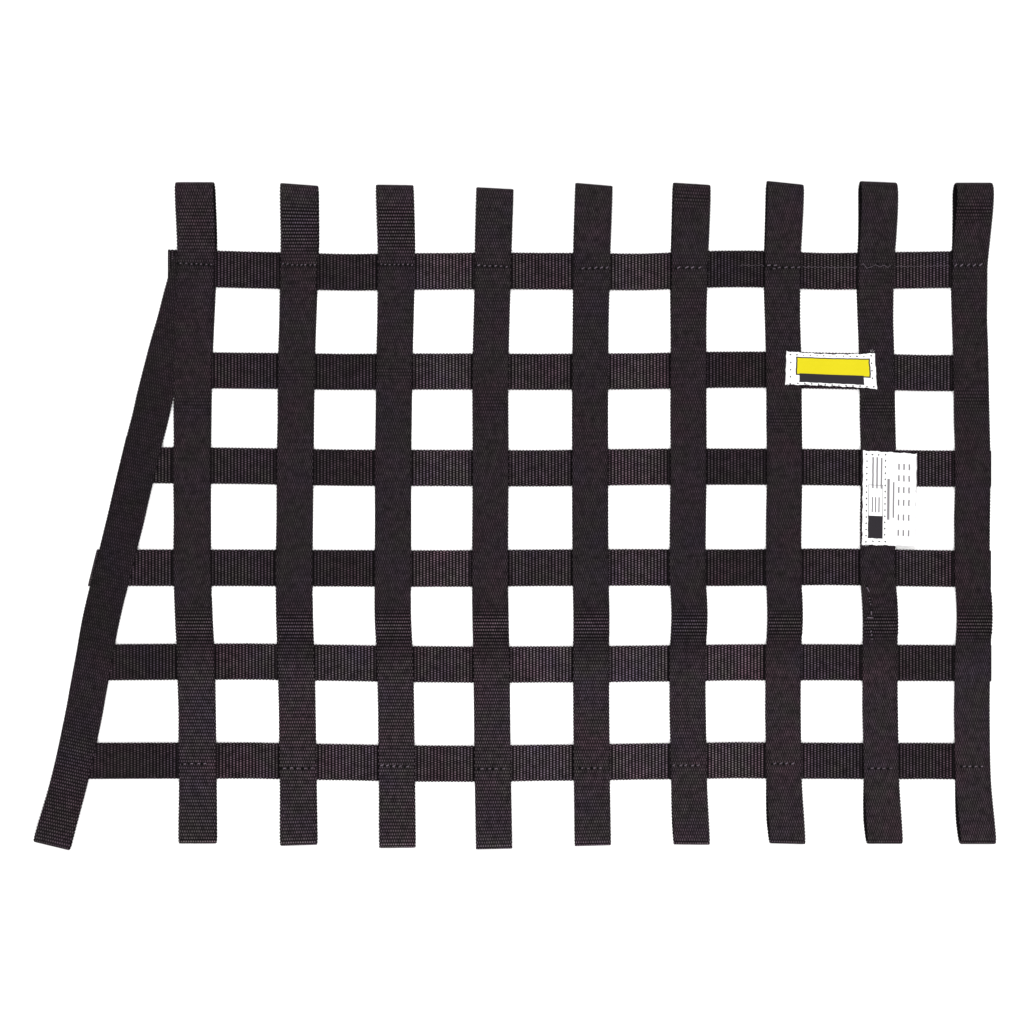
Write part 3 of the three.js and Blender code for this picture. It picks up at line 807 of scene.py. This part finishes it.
def upright_relief(number, path):
    """How far an upright's weave stands open along its path: little on the tight upper part,
    fully where it bows over the joint and round the bottom fold, less and less towards the
    right below the joint, round the top loops at the left of the net, and at CREASES."""
    # Besides raising the ribs, relief sets the painted gap shade and float highlight, so its rise at the
    # bow, the bottom folds and the open top loops stands in partly for light caught where the strap tilts
    y, _, share = path
    low = 1.0 - RELIEF_LOSS * smoothstep(number, *RIGHT_PART)
    tip = 1.0 - RELIEF_LOSS * smoothstep(y, *LOOP_TIP)
    loop = LOOP_RELIEF[0] + LOOP_RELIEF[1] * open_loop(number) * tip
    high = TIGHT_RELIEF[0] + TIGHT_RELIEF[1] * smoothstep(y, *TIGHT_PART)
    relief = high + (LOW_RELIEF * low - high) * smoothstep(-y, *OPEN_PART)
    relief = relief + (loop - high) * smoothstep(y, *TOP_LOOP)
    bends = [place for upright, *place in CREASES if upright == number]
    crease = sum(strength * bell(y, height, reach) for height, reach, strength in bends)
    bow = BOW_RELIEF[0] - BOW_RELIEF[1] * smoothstep(abs(number - 4.0), 0.5, 2.0)
    bow = bell(y, *JOINT_BOW) * bow
    fold = np.sqrt(np.sin(math.pi * np.clip(share, 0.0, 1.0))) * smoothstep(-y, 0.0, 1.0)
    open_fold = FOLD_RELIEF[0] - FOLD_RELIEF[1] * smoothstep(number, *RIGHT_FOLDS)
    return (relief + crease) * (1.0 - bow) * (1.0 - fold) + bow + open_fold * fold


def band_light(number, path):
    """Painted light on a band's outer and inner face: duller in the middle of the net, paler below
    the joint, at the bottom folds and at the top loops of straps 2 and 3, and painted shade on
    the inner face inside the loops. It is also darker along the top row of stitches."""
    y = path[0]
    paler = PALE_LIGHT[0] - PALE_LIGHT[1] * smoothstep(number, *RIGHT_PART)
    outer = PLAIN_LIGHT[0] + PLAIN_LIGHT[1] * smoothstep(y, *BRIGHT_PART)
    outer = outer + paler * smoothstep(-y, *PALE_PART)
    outer = outer + LOOP_LIGHT * open_loop(number) * smoothstep(y, *TOP_LOOP)
    outer = outer + FOLD_LIGHT * smoothstep(-y, *BOTTOM_FOLD)
    outer = outer * (1.0 - ROW_LOSS * bell(y, *ROW_DULL))
    inner = outer * (1.0 - INSIDE_LOSS * smoothstep(np.abs(y), *DARK_INSIDE))
    return np.stack([outer, inner], axis=1)


def edge_light(cross, x):
    """Light on a cross strap's two faces: darkened in a narrow strip beside each upright, more
    at the upright's left side than at its right."""
    light = np.ones_like(x)
    for band in BANDS[1:]:
        side = x - band_middle(band, cross["row"])
        past_edge = np.abs(side) - band["width"] / 2
        shades = []
        for strength, near, far in (RIGHT_SHADE, LEFT_SHADE):
            shades.append(1.0 - strength * (1.0 - smoothstep(past_edge, near, far)))
        light = light * np.where(side > 0.0, *shades)
    return np.stack([light, light], axis=1)


def put_mesh(name, points, corners, sizes, material, weave=None):
    """A mesh object from millimetre points, the corners of all faces in one row, and how many
    corners each face has. Its place goes from the photographed middle to the frame's origin."""
    mesh = bpy.data.meshes.new(name)
    mesh.vertices.add(len(points))
    mesh.loops.add(len(corners))
    mesh.polygons.add(len(sizes))
    placed = (points - np.array([MIDDLE_X, MIDDLE_Y, 0.0])) / 1000
    mesh.vertices.foreach_set("co", placed.astype(np.float32).ravel())
    mesh.loops.foreach_set("vertex_index", corners.astype(np.int32))
    starts = np.concatenate([[0], np.cumsum(sizes)[:-1]]).astype(np.int32)
    mesh.polygons.foreach_set("loop_start", starts)
    mesh.polygons.foreach_set("use_smooth", np.ones(len(sizes), dtype=bool))
    mesh.update(calc_edges=True)
    if weave is not None:
        layer = mesh.uv_layers.new(name="weave")
        layer.uv.foreach_set("vector", weave.reshape(-1, 2)[corners].astype(np.float32).ravel())
    if mesh.validate():
        raise RuntimeError(f"{name} has faulty faces")
    mesh.materials.append(material)
    made = bpy.data.objects.new(name, mesh)
    bpy.context.scene.collection.objects.link(made)
    return made


class Socket:
    """One output of a material's nodes, so that shader maths reads as plain arithmetic."""

    def __init__(self, finish, end):
        self.finish = finish
        self.end = end

    def maths(self, operation, *values):
        inputs = dict(enumerate((self, *values)))
        return self.finish.node("ShaderNodeMath", {"operation": operation}, inputs)[0]

    def __add__(self, other):
        return self.maths("ADD", other)

    __radd__ = __add__

    def __mul__(self, other):
        return self.maths("MULTIPLY", other)

    __rmul__ = __mul__

    def __sub__(self, other):
        return self.maths("SUBTRACT", other)

    def __rsub__(self, other):
        return self.finish.node("ShaderNodeMath", {"operation": "SUBTRACT"}, {0: other, 1: self})[0]

    def __pow__(self, other):
        return self.maths("POWER", other)

    def __abs__(self):
        return self.maths("ABSOLUTE")

    def __mod__(self, other):
        return self.maths("FLOORED_MODULO", other)


class Finish:
    """A material whose nodes are added one call at a time."""

    def __init__(self, name):
        self.material = bpy.data.materials.new(name)
        self.material.use_nodes = True
        self.tree = self.material.node_tree
        self.tree.nodes.clear()

    def node(self, kind, settings=None, values=None):
        """Adds a node, sets its settings and then its inputs, and returns its outputs."""
        made = self.tree.nodes.new(kind)
        for key, value in (settings or {}).items():
            setattr(made, key, value)
        for key, value in (values or {}).items():
            if isinstance(value, Socket):
                self.tree.links.new(value.end, made.inputs[key])
            else:
                made.inputs[key].default_value = value
        return [Socket(self, end) for end in made.outputs]

    def mix(self, share, first, second):
        """A colour between first and second."""
        settings = {"data_type": "RGBA", "clamp_factor": True}
        return self.node("ShaderNodeMix", settings, {0: share, 6: first, 7: second})[2]

    def noise(self, place, scale, detail=2.0, roughness=0.5):
        """Smooth noise from 0 to 1 at a place."""
        values = {"Vector": place, "Scale": scale, "Detail": detail, "Roughness": roughness}
        return self.node("ShaderNodeTexNoise", {"noise_dimensions": "3D"}, values)[0]

    def surface(self, values):
        """The shader itself, put on the material's output."""
        shader = self.node("ShaderNodeBsdfPrincipled", None, values)[0]
        self.node("ShaderNodeOutputMaterial", None, {"Surface": shader})
        return self.material


def colour(value):
    """A property's colour as the four numbers of a colour socket."""
    return (*value, 1.0)


# How many times in a metre the webbing's fibres, worn spots, tints and patches come back
FIBRE_SCALE = 2600.0
WORN_SCALE = 260.0
TINT_SCALE = 60.0
PATCH_SCALE = 24.0


def webbing_finish(name, settings):
    """Woven webbing: short floats in brick order along each rib, painted shade in the gaps between
    the ribs that deepens the more the weave stands open, and soft patches of warmer and greyer
    black. crown and bead are 1 - d^2, where d is the distance from the middle of a rib or a float
    as a share of half its pitch. The floats carry a painted highlight by bead^4, stronger by the
    cube of the relief, and the light attribute's painted light and shade."""
    cloth = Finish(name)
    weave = cloth.node("ShaderNodeUVMap", {"uv_map": "weave"})[0]
    u, v, _ = cloth.node("ShaderNodeSeparateXYZ", None, {0: weave})
    relief = cloth.node("ShaderNodeAttribute", {"attribute_name": "relief"})[2]
    place = cloth.node("ShaderNodeTexCoord")[3]
    rib = u.maths("FLOOR")
    from_rib = abs(u - rib - 0.5) * 2.0
    from_float = abs((v + (rib % 2.0) * 0.5) % 1.0 - 0.5) * 2.0
    crown = 1.0 - from_rib ** 2.0
    bead = 1.0 - from_float ** 2.0
    fibre = cloth.noise(place, FIBRE_SCALE, 1.0)
    patch = ((cloth.noise(place, PATCH_SCALE, 3.0) - 0.5) * 3.0 + 0.5).maths("MAXIMUM", 0.0)
    worn = ((cloth.noise(place, WORN_SCALE, 4.0, 0.7) - 0.5) * 3.0 + 1.0).maths("MAXIMUM", 0.2)
    height = crown * 0.6 * relief + 0.4 * bead + 0.2 * fibre
    bump = cloth.node("ShaderNodeBump", None, {"Strength": 0.9, "Distance": 0.00035, "Height": height})[0]
    tint = ((cloth.noise(place, TINT_SCALE, 2.0) - 0.5) * 4.0 + 0.5).maths("MAXIMUM", 0.0)
    shade = cloth.mix(patch, colour(settings.colour_warm), colour(settings.colour_violet))
    shade = cloth.mix(tint * 0.8, shade, colour(settings.colour_moss))
    # Painted shade in the gaps between the ribs: the higher the relief, the nearer the gaps fall to the gap
    # colour
    depth = (relief * 1.4).maths("MINIMUM", 0.95)
    painted_gap_shade = 1.0 - depth * (1.0 - crown ** 4.0)
    light = cloth.node("ShaderNodeAttribute", {"attribute_name": "light"})[2]
    # Painted highlight on the floats' crowns, with the light attribute's painted light and shade, times the
    # random worn tone
    painted_light_and_wear = painted_gap_shade * (0.03 + 0.97 * bead ** 4.0) * (0.165 + 0.46 * relief ** 3.0) * worn * light
    base = cloth.mix(painted_light_and_wear, colour(settings.colour_gap_shade), shade)
    return cloth.surface({"Base Color": base, "Roughness": 0.6, "Specular IOR Level": 0.02, "Normal": bump})


def thread_finish(name, shade):
    """Twisted sewing thread: slanting plies round the thread, with a painted highlight on their crowns and
    painted shade between them.
    """
    thread = Finish(name)
    weave = thread.node("ShaderNodeUVMap", {"uv_map": "weave"})[0]
    u, v, _ = thread.node("ShaderNodeSeparateXYZ", None, {0: weave})
    ply = abs((u + v) % 1.0 - 0.5) * 2.0
    bump = thread.node("ShaderNodeBump", None, {"Strength": 0.6, "Distance": 0.0002, "Height": ply})[0]
    place = thread.node("ShaderNodeTexCoord")[3]
    dull = (thread.noise(place, 160.0, 1.0) - 0.5) * 3.0 + 0.4
    base = thread.mix(ply * 0.3 + dull * 0.6, colour(shade), colour(tuple(0.25 * part for part in shade)))
    return thread.surface({"Base Color": base, "Roughness": 0.5, "Specular IOR Level": 0.4, "Normal": bump})


def hole_finish(name, shade):
    """The shade inside a needle hole."""
    return Finish(name).surface({"Base Color": colour(shade), "Roughness": 0.9, "Specular IOR Level": 0.1})


def bar(finish, u, v, middle, half, soft):
    """1 inside an upright rectangle with corners cut by soft edges, and 0 outside it."""
    inside = (half[0] - abs(u - middle[0])).maths("MINIMUM", half[1] - abs(v - middle[1]))
    return (inside * (1.0 / soft) + 0.5).maths("MAXIMUM", 0.0).maths("MINIMUM", 1.0)


def label_finish(name, settings, bars):
    """White label cloth: a fine plain weave, a little soiling in soft patches, and plain
    printed bars, each with its middle, half size and colour, whose ink the weave breaks up."""
    cloth = Finish(name)
    weave = cloth.node("ShaderNodeUVMap", {"uv_map": "weave"})[0]
    u, v, _ = cloth.node("ShaderNodeSeparateXYZ", None, {0: weave})
    place = cloth.node("ShaderNodeTexCoord")[3]
    pitch = settings.label_weave * 1000
    warp = abs((u * (1.0 / pitch)) % 1.0 - 0.5) * 2.0
    weft = abs((v * (1.0 / pitch)) % 1.0 - 0.5) * 2.0
    soil = cloth.noise(place, 90.0, 3.0)
    height = warp.maths("MAXIMUM", weft) + 0.4 * cloth.noise(place, 900.0, 2.0)
    bump = cloth.node("ShaderNodeBump", None, {"Strength": 0.5, "Distance": 0.00012, "Height": height})[0]
    clean = colour(settings.label_colour)
    base = cloth.mix(soil * 0.25, clean, colour(tuple(0.8 * part for part in settings.label_colour)))
    for middle, half, ink in bars:
        base = cloth.mix(bar(cloth, u, v, middle, half, 0.25), base, colour(ink))
    return cloth.surface({"Base Color": base, "Roughness": 0.7, "Specular IOR Level": 0.1, "Normal": bump})


class NetWebbing(bpy.types.PropertyGroup):
    """Sizes and colours of the webbing."""

    thickness: bpy.props.FloatProperty(
        name="Thickness", description="Thickness of the webbing over its ribs",
        default=0.00135, min=0.0005, max=0.0016, unit="LENGTH", precision=5)
    rib_pitch: bpy.props.FloatProperty(
        name="Rib pitch", description="Distance from one rib of the weave to the next",
        default=0.00232, min=0.001, max=0.005, unit="LENGTH", precision=5)
    rib_height: bpy.props.FloatProperty(
        name="Rib height", description="How far each rib stands above the gap beside it",
        default=0.0004, min=0.0, max=0.0006, unit="LENGTH", precision=5)
    float_pitch: bpy.props.FloatProperty(
        name="Float pitch", description="Distance from one float to the next along a rib",
        default=0.00162, min=0.0008, max=0.004, unit="LENGTH", precision=5)
    edge_wave: bpy.props.FloatProperty(
        name="Selvedge wave", description="How far each rib pushes out the edge of the webbing",
        default=0.00042, min=0.0, max=0.0008, unit="LENGTH", precision=5)
    colour_warm: bpy.props.FloatVectorProperty(
        name="Warm black", description="Colour of the floats in the warmer patches",
        default=(0.262, 0.160, 0.202), min=0.0, max=1.0, subtype="COLOR")
    colour_violet: bpy.props.FloatVectorProperty(
        name="Violet black", description="Colour of the floats in the cooler patches",
        default=(0.200, 0.156, 0.218), min=0.0, max=1.0, subtype="COLOR")
    colour_moss: bpy.props.FloatVectorProperty(
        name="Greenish black", description="Colour of the floats in the duller patches",
        default=(0.202, 0.174, 0.174), min=0.0, max=1.0, subtype="COLOR")
    # Painted shade: the colour deep in the gaps between the ribs
    colour_gap_shade: bpy.props.FloatVectorProperty(
        name="Gap black", description="Colour in the gaps between the ribs",
        default=(0.0025, 0.002, 0.0023), min=0.0, max=1.0, subtype="COLOR")


class NetSewing(bpy.types.PropertyGroup):
    """Sizes and colours of the sewing and the labels."""

    thread_radius: bpy.props.FloatProperty(
        name="Thread radius", description="Radius of the sewing thread",
        default=0.0004, min=0.0001, max=0.0006, unit="LENGTH", precision=5)
    hole_radius: bpy.props.FloatProperty(
        name="Needle hole radius", description="Radius of the dark hole where the needle went in",
        default=0.00095, min=0.0001, max=0.0012, unit="LENGTH", precision=5)
    thread_colour: bpy.props.FloatVectorProperty(
        name="Thread", description="Colour of the thread in the webbing",
        default=(0.165, 0.13, 0.165), min=0.0, max=1.0, subtype="COLOR")
    label_thread: bpy.props.FloatVectorProperty(
        name="Label thread", description="Colour of the thread in the labels",
        default=(0.8, 0.79, 0.8), min=0.0, max=1.0, subtype="COLOR")
    label_colour: bpy.props.FloatVectorProperty(
        name="Label cloth", description="Colour of the label cloth",
        default=(0.86, 0.855, 0.86), min=0.0, max=1.0, subtype="COLOR")
    label_weave: bpy.props.FloatProperty(
        name="Label weave", description="Distance between the threads of the label cloth",
        default=0.0003, min=0.0001, max=0.001, unit="LENGTH", precision=5)
    print_dark: bpy.props.FloatVectorProperty(
        name="Dark print", description="Colour of the dark printed bar",
        default=(0.021, 0.018, 0.022), min=0.0, max=1.0, subtype="COLOR")
    print_yellow: bpy.props.FloatVectorProperty(
        name="Yellow print", description="Colour of the yellow printed bar",
        default=(0.58, 0.50, 0.008), min=0.0, max=1.0, subtype="COLOR")
    print_grey: bpy.props.FloatVectorProperty(
        name="Grey print", description="Colour of the thin printed rules",
        default=(0.2, 0.19, 0.2), min=0.0, max=1.0, subtype="COLOR")


class NetStage(bpy.types.PropertyGroup):
    """Floor, light and camera."""

    floor_colour: bpy.props.FloatVectorProperty(
        name="Floor", description="Colour of the floor",
        default=(0.93, 0.92, 0.92), min=0.0, max=1.0, subtype="COLOR")
    side_light: bpy.props.FloatProperty(
        name="Side light", description="Power of each soft light beyond the two long sides",
        default=22.0, min=0.0, unit="POWER")
    top_light: bpy.props.FloatProperty(
        name="Top light", description="Power of the soft light above",
        default=44.0, min=0.0, unit="POWER")
    world_light: bpy.props.FloatProperty(
        name="World light", description="Strength of the light from all round", default=0.15, min=0.0)
    camera_height: bpy.props.FloatProperty(
        name="Camera height", description="Height of the camera above the floor",
        default=1.3, min=0.5, unit="LENGTH")
    picture_width: bpy.props.FloatProperty(
        name="Picture width", description="Width of floor that the picture shows",
        default=0.71988, min=0.2, unit="LENGTH")


def weave_strap(strap, line, relief, light, settings):
    """One strap of webbing along a line of points and directions across, in its solid's place.
    Its two faces carry how far the weave stands open and the painted light and shade put into
    their colour, where light holds a column for the outer face and one for the inner."""
    opened = np.column_stack([relief, light])
    points, across, opened, ribs, length = rib_steps(*line, opened, settings.rib_pitch * 1000)
    relief = opened[:, 0]
    grid, weave = webbing_grid(points, across, relief, ribs, strap["width"], settings)
    material = bpy.data.materials.get("black webbing") or webbing_finish("black webbing", settings)
    made = ring_mesh(f"cloth_{strap['name']}", grid[None], weave, material)
    faces = np.repeat(opened[:, 1:], len(COLUMNS), axis=1)
    for key, values in (("relief", np.repeat(relief, grid.shape[1])), ("light", faces.ravel())):
        made.data.attributes.new(key, "FLOAT", "POINT").data.foreach_set("value", values.astype(np.float32))
    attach(made, "root")
    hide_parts(strap["name"])


class OBJECT_OT_net_uprights(bpy.types.Operator):
    """Weaves the nine upright straps, each a closed band with its rod loops."""

    bl_idname = "object.net_uprights"
    bl_label = "Upright straps"

    def execute(self, context):
        for number, band in enumerate(BANDS[1:], start=1):
            path = upright_path(band, PATH_STEP)
            relief = upright_relief(number, path)
            light = band_light(number, path)
            weave_strap(band, band_line(band, path, 0.0), relief, light, context.scene.net_webbing)
        return {"FINISHED"}


class OBJECT_OT_net_slant(bpy.types.Operator):
    """Weaves the slanted strap at the left side."""

    bl_idname = "object.net_slant"
    bl_label = "Slanted strap"

    def execute(self, context):
        band = BANDS[0]
        path = slant_path(band, PATH_STEP)
        # The relief sets the ribs and the painted gap shade and float highlight; left is the share of
        # painted light that the slanted strap keeps, more of it downwards
        relief = SLANT_RELIEF[0] + SLANT_RELIEF[1] * smoothstep(-path[0], *SLANT_OPEN)
        left = SLANT_LIGHT[0] + SLANT_LIGHT[1] * smoothstep(-path[0], *SLANT_PALE)
        light = band_light(9, path) * left[:, None]
        weave_strap(band, band_line(band, path, SLANT_TURN), relief, light, context.scene.net_webbing)
        return {"FINISHED"}


class OBJECT_OT_net_crosses(bpy.types.Operator):
    """Weaves the six cross straps."""

    bl_idname = "object.net_crosses"
    bl_label = "Cross straps"

    def execute(self, context):
        for number, cross in enumerate(CROSSES):
            line = cross_line(cross, PATH_STEP)
            bays = LOWER_BAYS if number >= 4 else UPPER_BAYS
            x = line[0][:, 0]
            relief = np.interp(x, BAY_MIDDLES, bays)
            weave_strap(cross, line, relief, edge_light(cross, x), context.scene.net_webbing)
        return {"FINISHED"}


def sew(name, seams, radii, shades):
    """One object of stitches, and one of needle holes where there are any. radii and shades
    hold the thread's value first and then the holes'."""
    starts, ends, lifts, holes = (np.array(part, dtype=float) for part in seams)
    finish = thread_finish(f"{name} thread", shades[0])
    made = [stitch_mesh(f"{name}_thread", starts, ends, lifts, radii[0] * 1000, finish)]
    if len(holes):
        finish = hole_finish(f"{name} hole", (shades[1], shades[1], shades[1]))
        made.append(hole_mesh(f"{name}_holes", holes, radii[1] * 1000, finish))
    for piece in made:
        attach(piece, "root")


class OBJECT_OT_net_sewing(bpy.types.Operator):
    """Sews the uprights to the top and bottom cross straps, and closes their lapped joints."""

    bl_idname = "object.net_sewing"
    bl_label = "Sewing"

    def execute(self, context):
        settings = context.scene.net_sewing
        draw = np.random.default_rng(STITCH_SEED)
        radius, shade = settings.thread_radius, settings.thread_colour
        seams = [a + b for a, b in zip(sewn_rows(draw), joint_rows())]
        sew("strap", seams, (radius, settings.hole_radius), (shade, HOLE_SHADE))
        sew("running", running_row(draw), (radius * RUNNING_SHARE, 0.0), (shade, 0.0))
        return {"FINISHED"}


class OBJECT_OT_net_labels(bpy.types.Operator):
    """Makes the patch label and the side label, with plain print and their sewing."""

    bl_idname = "object.net_labels"
    bl_label = "Labels"

    def execute(self, context):
        settings = context.scene.net_sewing
        patch, side = LABELS
        yellow, dark, grey = settings.print_yellow, settings.print_dark, settings.print_grey
        patch_bars = [
            ((1.6, 1.7), (26.2, 6.5), dark),
            ((1.6, 1.7), (25.2, 5.6), yellow),
            ((0.4, -6.7), (22.4, 3.2), dark),
        ]
        side_bars = [
            ((-9.8, -3.0), (5.2, 12.4), grey),
            ((-9.8, -3.0), (4.7, 11.9), settings.label_colour),
            ((-9.8, -20.4), (5.2, 8.0), dark),
            ((-0.9, -0.4), (0.9, 14.5), grey),
            ((2.7, -0.7), (0.6, 12.7), grey),
        ]
        side_bars += [((x, 17.8), (0.6, 11.0), grey) for x in (-11.9, -9.0, -5.9)]
        side_bars += [((x, -4.6), (0.5, 5.4), grey) for x in (-12.0, -9.8, -7.4)]
        for x in (6.3, 9.9, 13.7):
            side_bars += [((x, y), (0.6, 2.2), grey) for y in (-23.9, -12.9, -2.4, 6.6, 14.9, 23.1)]
        self.lay(patch, patch_bars, settings)
        self.lay(side, side_bars, settings)
        return {"FINISHED"}

    def lay(self, label, bars, settings):
        """One label: its cloth, the stitches along the box of its seam, and loose fibres."""
        left, right, top, bottom = label["seam"]
        sewn = ((0, left), (0, right), (1, top), (1, bottom))
        grid, weave = label_grid(label, label["drawn_in"], sewn, LABEL_STEP)
        finish = label_finish(label["name"], settings, bars)
        made = ring_mesh(f"cloth_{label['name']}", grid[None], weave, finish)
        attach(made, "root")
        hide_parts(label["name"])
        starts, ends, lifts, holes = [], [], [], []
        corners = ((left, bottom), (left, top), (right, top), (right, bottom), (left, bottom))
        sunk = np.array([0.0, 0.0, SEAM_DEPTH])
        for (x0, y0), (x1, y1) in zip(corners, corners[1:]):
            count = int(round(math.hypot(x1 - x0, y1 - y0) / label["pitch"]))
            for k in range(count):
                stops = ((starts, k), (ends, k + LABEL_STITCH), (holes, k - LABEL_HOLE_BEFORE))
                for store, t in stops:
                    place = label_face(label, x0 + (x1 - x0) * t / count, y0 + (y1 - y0) * t / count)
                    store.append(place - sunk)
                lifts.append(LABEL_LIFT)
        shades = (settings.label_thread, LABEL_HOLE_SHADE)
        seams = (starts, ends, lifts, holes)
        sew(label["name"], seams, (LABEL_THREAD_RADIUS, LABEL_HOLE_RADIUS), shades)
        fibres = FRAYS[label["name"]]
        starts = [label_face(label, x, y) for x, y, _, _ in fibres]
        reaches = [np.array([dx, dy, -FRAY_DROP]) for _, _, dx, dy in fibres]
        ends = [place + reach for place, reach in zip(starts, reaches)]
        loose = (starts, ends, [FRAY_LIFT] * len(starts), [])
        sew(f"{label['name']}_fray", loose, (FRAY_RADIUS, 0.0), shades)


# Half the width and depth of the oval floor, its level, just under the net, and its corners
FLOOR_WIDE = 1120.0
FLOOR_DEEP = 1420.0
FLOOR_LEVEL = -0.2
FLOOR_CORNERS = 96


class OBJECT_OT_net_stage(bpy.types.Operator):
    """Puts the net on a pale oval floor under soft light, with the camera straight above it
    and plain white behind the floor."""

    bl_idname = "object.net_stage"
    bl_label = "Stage"

    def execute(self, context):
        scene = context.scene
        stage = scene.net_stage
        floor = Finish("pale floor").surface({"Base Color": colour(stage.floor_colour), "Roughness": 0.9})
        turn = np.linspace(0.0, 2 * math.pi, FLOOR_CORNERS, endpoint=False)
        rim = [FLOOR_WIDE * np.cos(turn), FLOOR_DEEP * np.sin(turn), np.full_like(turn, FLOOR_LEVEL)]
        points, corners = np.stack(rim, axis=1), np.arange(FLOOR_CORNERS)
        ground = put_mesh("floor", points, corners, np.array([FLOOR_CORNERS]), floor)
        lights = (
            ("far light", stage.side_light, (0.0, 1.4, 1.6), (0.5, 0.8)),
            ("near light", stage.side_light, (0.0, -1.4, 1.6), (0.5, 0.8)),
            ("top light", stage.top_light, (0.0, 0.0, 2.2), (1.6, 1.6)),
        )
        for name, power, place, size in lights:
            lamp = bpy.data.lights.new(name, "AREA")
            lamp.shape = "RECTANGLE"
            lamp.size, lamp.size_y = size
            lamp.energy = power
            holder = bpy.data.objects.new(name, lamp)
            holder.location = place
            holder.rotation_euler = (-math.atan2(place[1], place[2]), 0.0, 0.0)
            scene.collection.objects.link(holder)
        scene.view_settings.view_transform = "Standard"
        scene.world = bpy.data.worlds.new("soft daylight")
        scene.world.use_nodes = True
        sky = scene.world.node_tree
        around = sky.nodes["Background"]
        behind = sky.nodes.new("ShaderNodeBackground")
        for shade, strength in ((around, stage.world_light), (behind, 1.0)):
            shade.inputs["Color"].default_value = (1.0, 1.0, 1.0, 1.0)
            shade.inputs["Strength"].default_value = strength
        choice = sky.nodes.new("ShaderNodeMixShader")
        sky.links.new(sky.nodes.new("ShaderNodeLightPath").outputs["Is Camera Ray"], choice.inputs[0])
        sky.links.new(around.outputs[0], choice.inputs[1])
        sky.links.new(behind.outputs[0], choice.inputs[2])
        sky.links.new(choice.outputs[0], sky.nodes["World Output"].inputs["Surface"])
        lens = bpy.data.cameras.new("camera above")
        lens.sensor_fit = "HORIZONTAL"
        lens.angle = 2 * math.atan(stage.picture_width / 2 / stage.camera_height)
        camera = bpy.data.objects.new("camera above", lens)
        camera.location = (-MIDDLE_X / 1000, -MIDDLE_Y / 1000, stage.camera_height)
        scene.collection.objects.link(camera)
        scene.camera = camera
        return {"FINISHED"}


class VIEW3D_PT_window_net(bpy.types.Panel):
    """Lists the pieces of the net and the stage."""

    bl_idname = "VIEW3D_PT_window_net"
    bl_label = "Window net"
    bl_space_type = "VIEW_3D"
    bl_region_type = "UI"
    bl_category = "Window net"

    def draw(self, context):
        for group in (context.scene.net_webbing, context.scene.net_sewing, context.scene.net_stage):
            box = self.layout.box()
            for name in group.__annotations__:
                box.prop(group, name)
        for operator in OPERATORS:
            self.layout.operator(operator.bl_idname)


OPERATORS = (
    OBJECT_OT_net_uprights,
    OBJECT_OT_net_slant,
    OBJECT_OT_net_crosses,
    OBJECT_OT_net_sewing,
    OBJECT_OT_net_labels,
    OBJECT_OT_net_stage,
)
CLASSES = (NetWebbing, NetSewing, NetStage, *OPERATORS, VIEW3D_PT_window_net)


def register():
    """Adds the classes and the scene's settings."""
    for entry in CLASSES:
        bpy.utils.register_class(entry)
    bpy.types.Scene.net_webbing = bpy.props.PointerProperty(type=NetWebbing)
    bpy.types.Scene.net_sewing = bpy.props.PointerProperty(type=NetSewing)
    bpy.types.Scene.net_stage = bpy.props.PointerProperty(type=NetStage)


def unregister():
    """Takes the scene's settings and the classes away again."""
    del bpy.types.Scene.net_stage
    del bpy.types.Scene.net_sewing
    del bpy.types.Scene.net_webbing
    for entry in reversed(CLASSES):
        bpy.utils.unregister_class(entry)


def main():
    register()
    bpy.ops.object.net_uprights()
    bpy.ops.object.net_slant()
    bpy.ops.object.net_crosses()
    bpy.ops.object.net_sewing()
    bpy.ops.object.net_labels()
    bpy.ops.object.net_stage()


if __name__ == "__main__":
    main()
